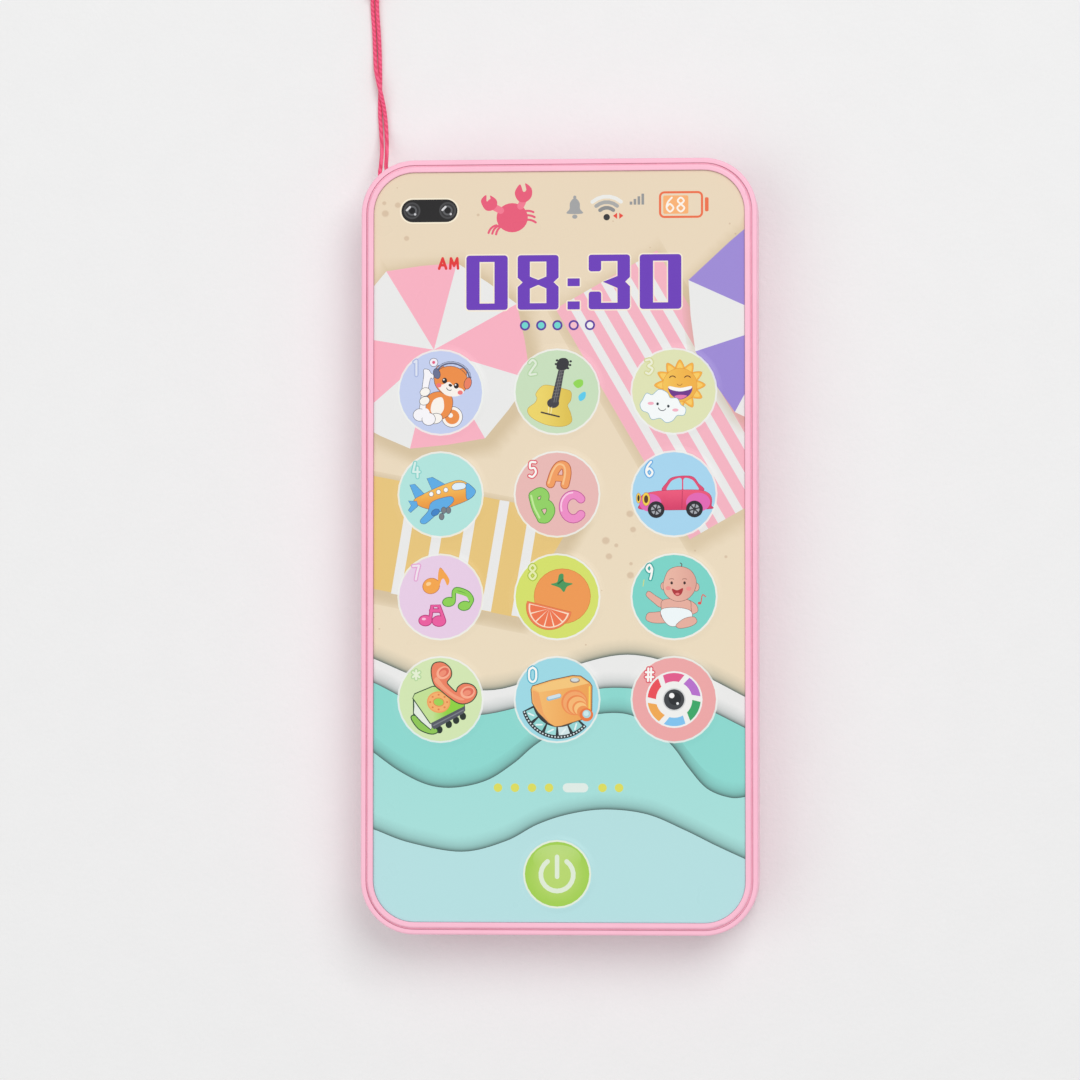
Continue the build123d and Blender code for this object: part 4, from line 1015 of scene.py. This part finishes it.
# every outline goes into one flat triangulation, so each triangle has one colour
film_outline = box_points(0, 0, *FILM_SIZE, FILM_CORNER, steps=17)
outlines = [film_outline]
for place, radii in pad_rings.values():
    outlines += [ring_points(*place, radius, radius, count=RING_COUNT) for radius in radii]
outlines += [np.asarray(outline) for outline, colour, cover in art]
flat_points = []
flat_edges = []
for outline in outlines:
    first, count = len(flat_points), len(outline)
    flat_points.extend(map(tuple, outline))
    flat_edges.extend((first + i, first + (i + 1) % count) for i in range(count))
flat_points.extend((x, y) for x in np.arange(-34.5, 35, GRID) for y in np.arange(-70.5, 71, GRID))
vertices, _, faces, _, _, _ = delaunay_2d_cdt([Vector(p) for p in flat_points], flat_edges, [], 0, 1e-5)
corners = np.array([v[:] for v in vertices])
triangles = np.array([f for f in faces if len(f) == 3])
first, second, third = (corners[triangles[:, i]] for i in range(3))
signed = np.cross(second - first, third - first)
triangles[signed < 0] = triangles[signed < 0][:, ::-1]
triangles = triangles[np.abs(signed) > 1e-7]
middles = corners[triangles].mean(axis=1)


def inside(outline, points):
    """Non-zero winding test for many points."""
    winding = np.zeros(len(points), int)
    px, py = points[:, 0], points[:, 1]
    for (ax, ay), (bx, by) in zip(outline, np.roll(outline, -1, axis=0)):
        crossing = (py >= min(ay, by)) & (py < max(ay, by))
        if crossing.any():
            at = ax + (py - ay) * (bx - ax) / (by - ay)
            winding += np.where(crossing & (at > px), 1 if by > ay else -1, 0)
    return winding != 0


on_film = inside(film_outline, middles)
triangles = triangles[on_film]
middles = middles[on_film]
paint = np.zeros((len(triangles), 3, 3))
for outline, colour, cover in art:
    outline = np.asarray(outline, float)
    near = np.where((middles >= outline.min(axis=0)).all(axis=1)
                    & (middles <= outline.max(axis=0)).all(axis=1))[0]
    near = near[inside(outline, middles[near])]
    if len(near):
        x, y = np.moveaxis(corners[triangles[near]], -1, 0)
        coat = colour(x, y) if callable(colour) else rgb(colour)
        weight = (cover(x, y) if callable(cover) else np.full(x.shape, cover))[..., None]
        paint[near] = paint[near] * (1 - weight) + coat * weight
paint = scene_linear(np.clip(paint / 255, 0, 1))

film_print = Recipe(bpy.data.materials.new("film_print"))
ink = film_print.node("VertexColor")
ink.layer_name = "ink"
film_print.link(ink, "Color", film_print.shader, "Base Color")
film_noise = film_print.noise(90.0, 3.0)
film_print.gloss_and_relief(film_noise, 0.24, 0.34, film_noise, 0.04, 0.0002)
film_print.set(film_print.shader, Specular_IOR_Level=0.3)


def film_piece(name, chosen, height, thick):
    """One piece of the printed film from some triangles; height gives z in millimetres."""
    used, faces_here = np.unique(triangles[chosen], return_inverse=True)
    mesh = bpy.data.meshes.new(name)
    mesh.from_pydata([(x * MM, y * MM, height(x, y) * MM) for x, y in corners[used]], [],
                     faces_here.reshape(-1, 3).tolist())
    values = np.ones((len(faces_here.ravel()), 4))
    values[:, :3] = paint[chosen].reshape(-1, 3)
    mesh.color_attributes.new("ink", "FLOAT_COLOR", "CORNER").data.foreach_set("color", values.ravel())
    mesh.materials.append(film_print.material)
    piece = put(bpy.data.objects.new(name, mesh))
    wall = piece.modifiers.new("thickness", "SOLIDIFY")
    wall.thickness = thick * MM
    wall.offset = -1.0
    return piece


on_sheet = np.ones(len(triangles), bool)
for name, (place, radii) in pad_rings.items():
    rise = fade(radii[0] - 0.05, radii[3] + 0.3)

    def pillow(x, y, place=place, rise=rise):
        """Height of a patch: level with the film at its rim, a little proud over the key."""
        return FILM_TOP + PATCH_RISE * float(rise(math.hypot(x - place[0], y - place[1])))
    in_patch = np.hypot(*(middles - place).T) < radii[0] * math.cos(math.pi / RING_COUNT)
    on_sheet &= ~in_patch
    patch = film_piece(name + "_print", in_patch, pillow, PATCH_THICK)
    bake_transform(patch)
film = film_piece("printed_film", on_sheet, lambda x, y: FILM_TOP, FILM_THICK)
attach(film, "phone_body")
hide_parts("screen_film")

# ---- snap domes, which flatten under a pressed key, modelled at rest ----
DOME_RADIUS = 5.0


def snap_dome(name):
    """A pressed steel dome with a flat rim and a dimple, in the room of its CAD node."""
    low, high = (Vector(corner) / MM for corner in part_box(name))
    middle = (low + high) / 2
    rise = high.z - low.z
    profile = [(0.0, rise - 0.05), (0.55, rise - 0.045), (0.95, rise - 0.015), (1.25, rise - 0.012)]
    profile += [(r, rise * (1 - (r / (DOME_RADIUS - 0.3)) ** 2) + 0.02 * r / DOME_RADIUS)
                for r in (1.9, 2.7, 3.5, 4.2)]
    profile += [(4.62, 0.11), (4.97, 0.1), (DOME_RADIUS, 0.07), (DOME_RADIUS, 0.01), (4.9, 0.0)]
    profile += [(4.5, 0.0), (4.1, 0.03), (3.4, 0.09), (2.7, 0.16), (1.9, 0.23),
                (1.1, 0.275), (0.5, 0.27), (0.0, 0.265)]
    rings = []
    for radius, height in profile:
        ring = ring_points(middle.x, middle.y, radius, radius, count=48)
        rings.append([(x, y, low.z + height) for x, y in (ring if radius else ring[:1])])
    return skinned(name + "_snap", rings, bpy.data.materials["dome_metal"])


for name, node in domes.items():
    dome = snap_dome(node)
    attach(dome, "phone_body")
    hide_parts(node)
    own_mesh(dome)

# ---- floor and light ----
FLOOR_DROP = 0.1                   # keeps the floor clear of the casing's back
floor_maker = bmesh.new()
bmesh.ops.create_grid(floor_maker, x_segments=2, y_segments=2, size=2.0)
floor_mesh = bpy.data.meshes.new("floor")
floor_maker.to_mesh(floor_mesh)
floor_maker.free()
floor_mesh.materials.append(bpy.data.materials["floor_paper"])
floor = put(bpy.data.objects.new("floor", floor_mesh))
floor.location = (0, 0, -FLOOR_DROP * MM)
for name, place, size, watts in (("key_light", (0.55, 0.75, 1.5), 1.1, 13.4),
                                 ("fill_light", (-0.9, -0.3, 1.3), 1.4, 6.3)):
    light = bpy.data.lights.new(name, "AREA")
    light.shape = "SQUARE"
    light.size = size
    light.energy = watts
    lamp = put(bpy.data.objects.new(name, light))
    lamp.location = place
    lamp.rotation_euler = (-Vector(place)).to_track_quat("-Z", "Y").to_euler()
world = bpy.data.worlds.new("studio")
world.use_nodes = True
world.node_tree.nodes["Background"].inputs["Color"].default_value = (1.0, 1.0, 1.0, 1.0)
world.node_tree.nodes["Background"].inputs["Strength"].default_value = 0.495
scene.world = world
scene.view_settings.view_transform = "Standard"
scene.view_settings.look = "None"
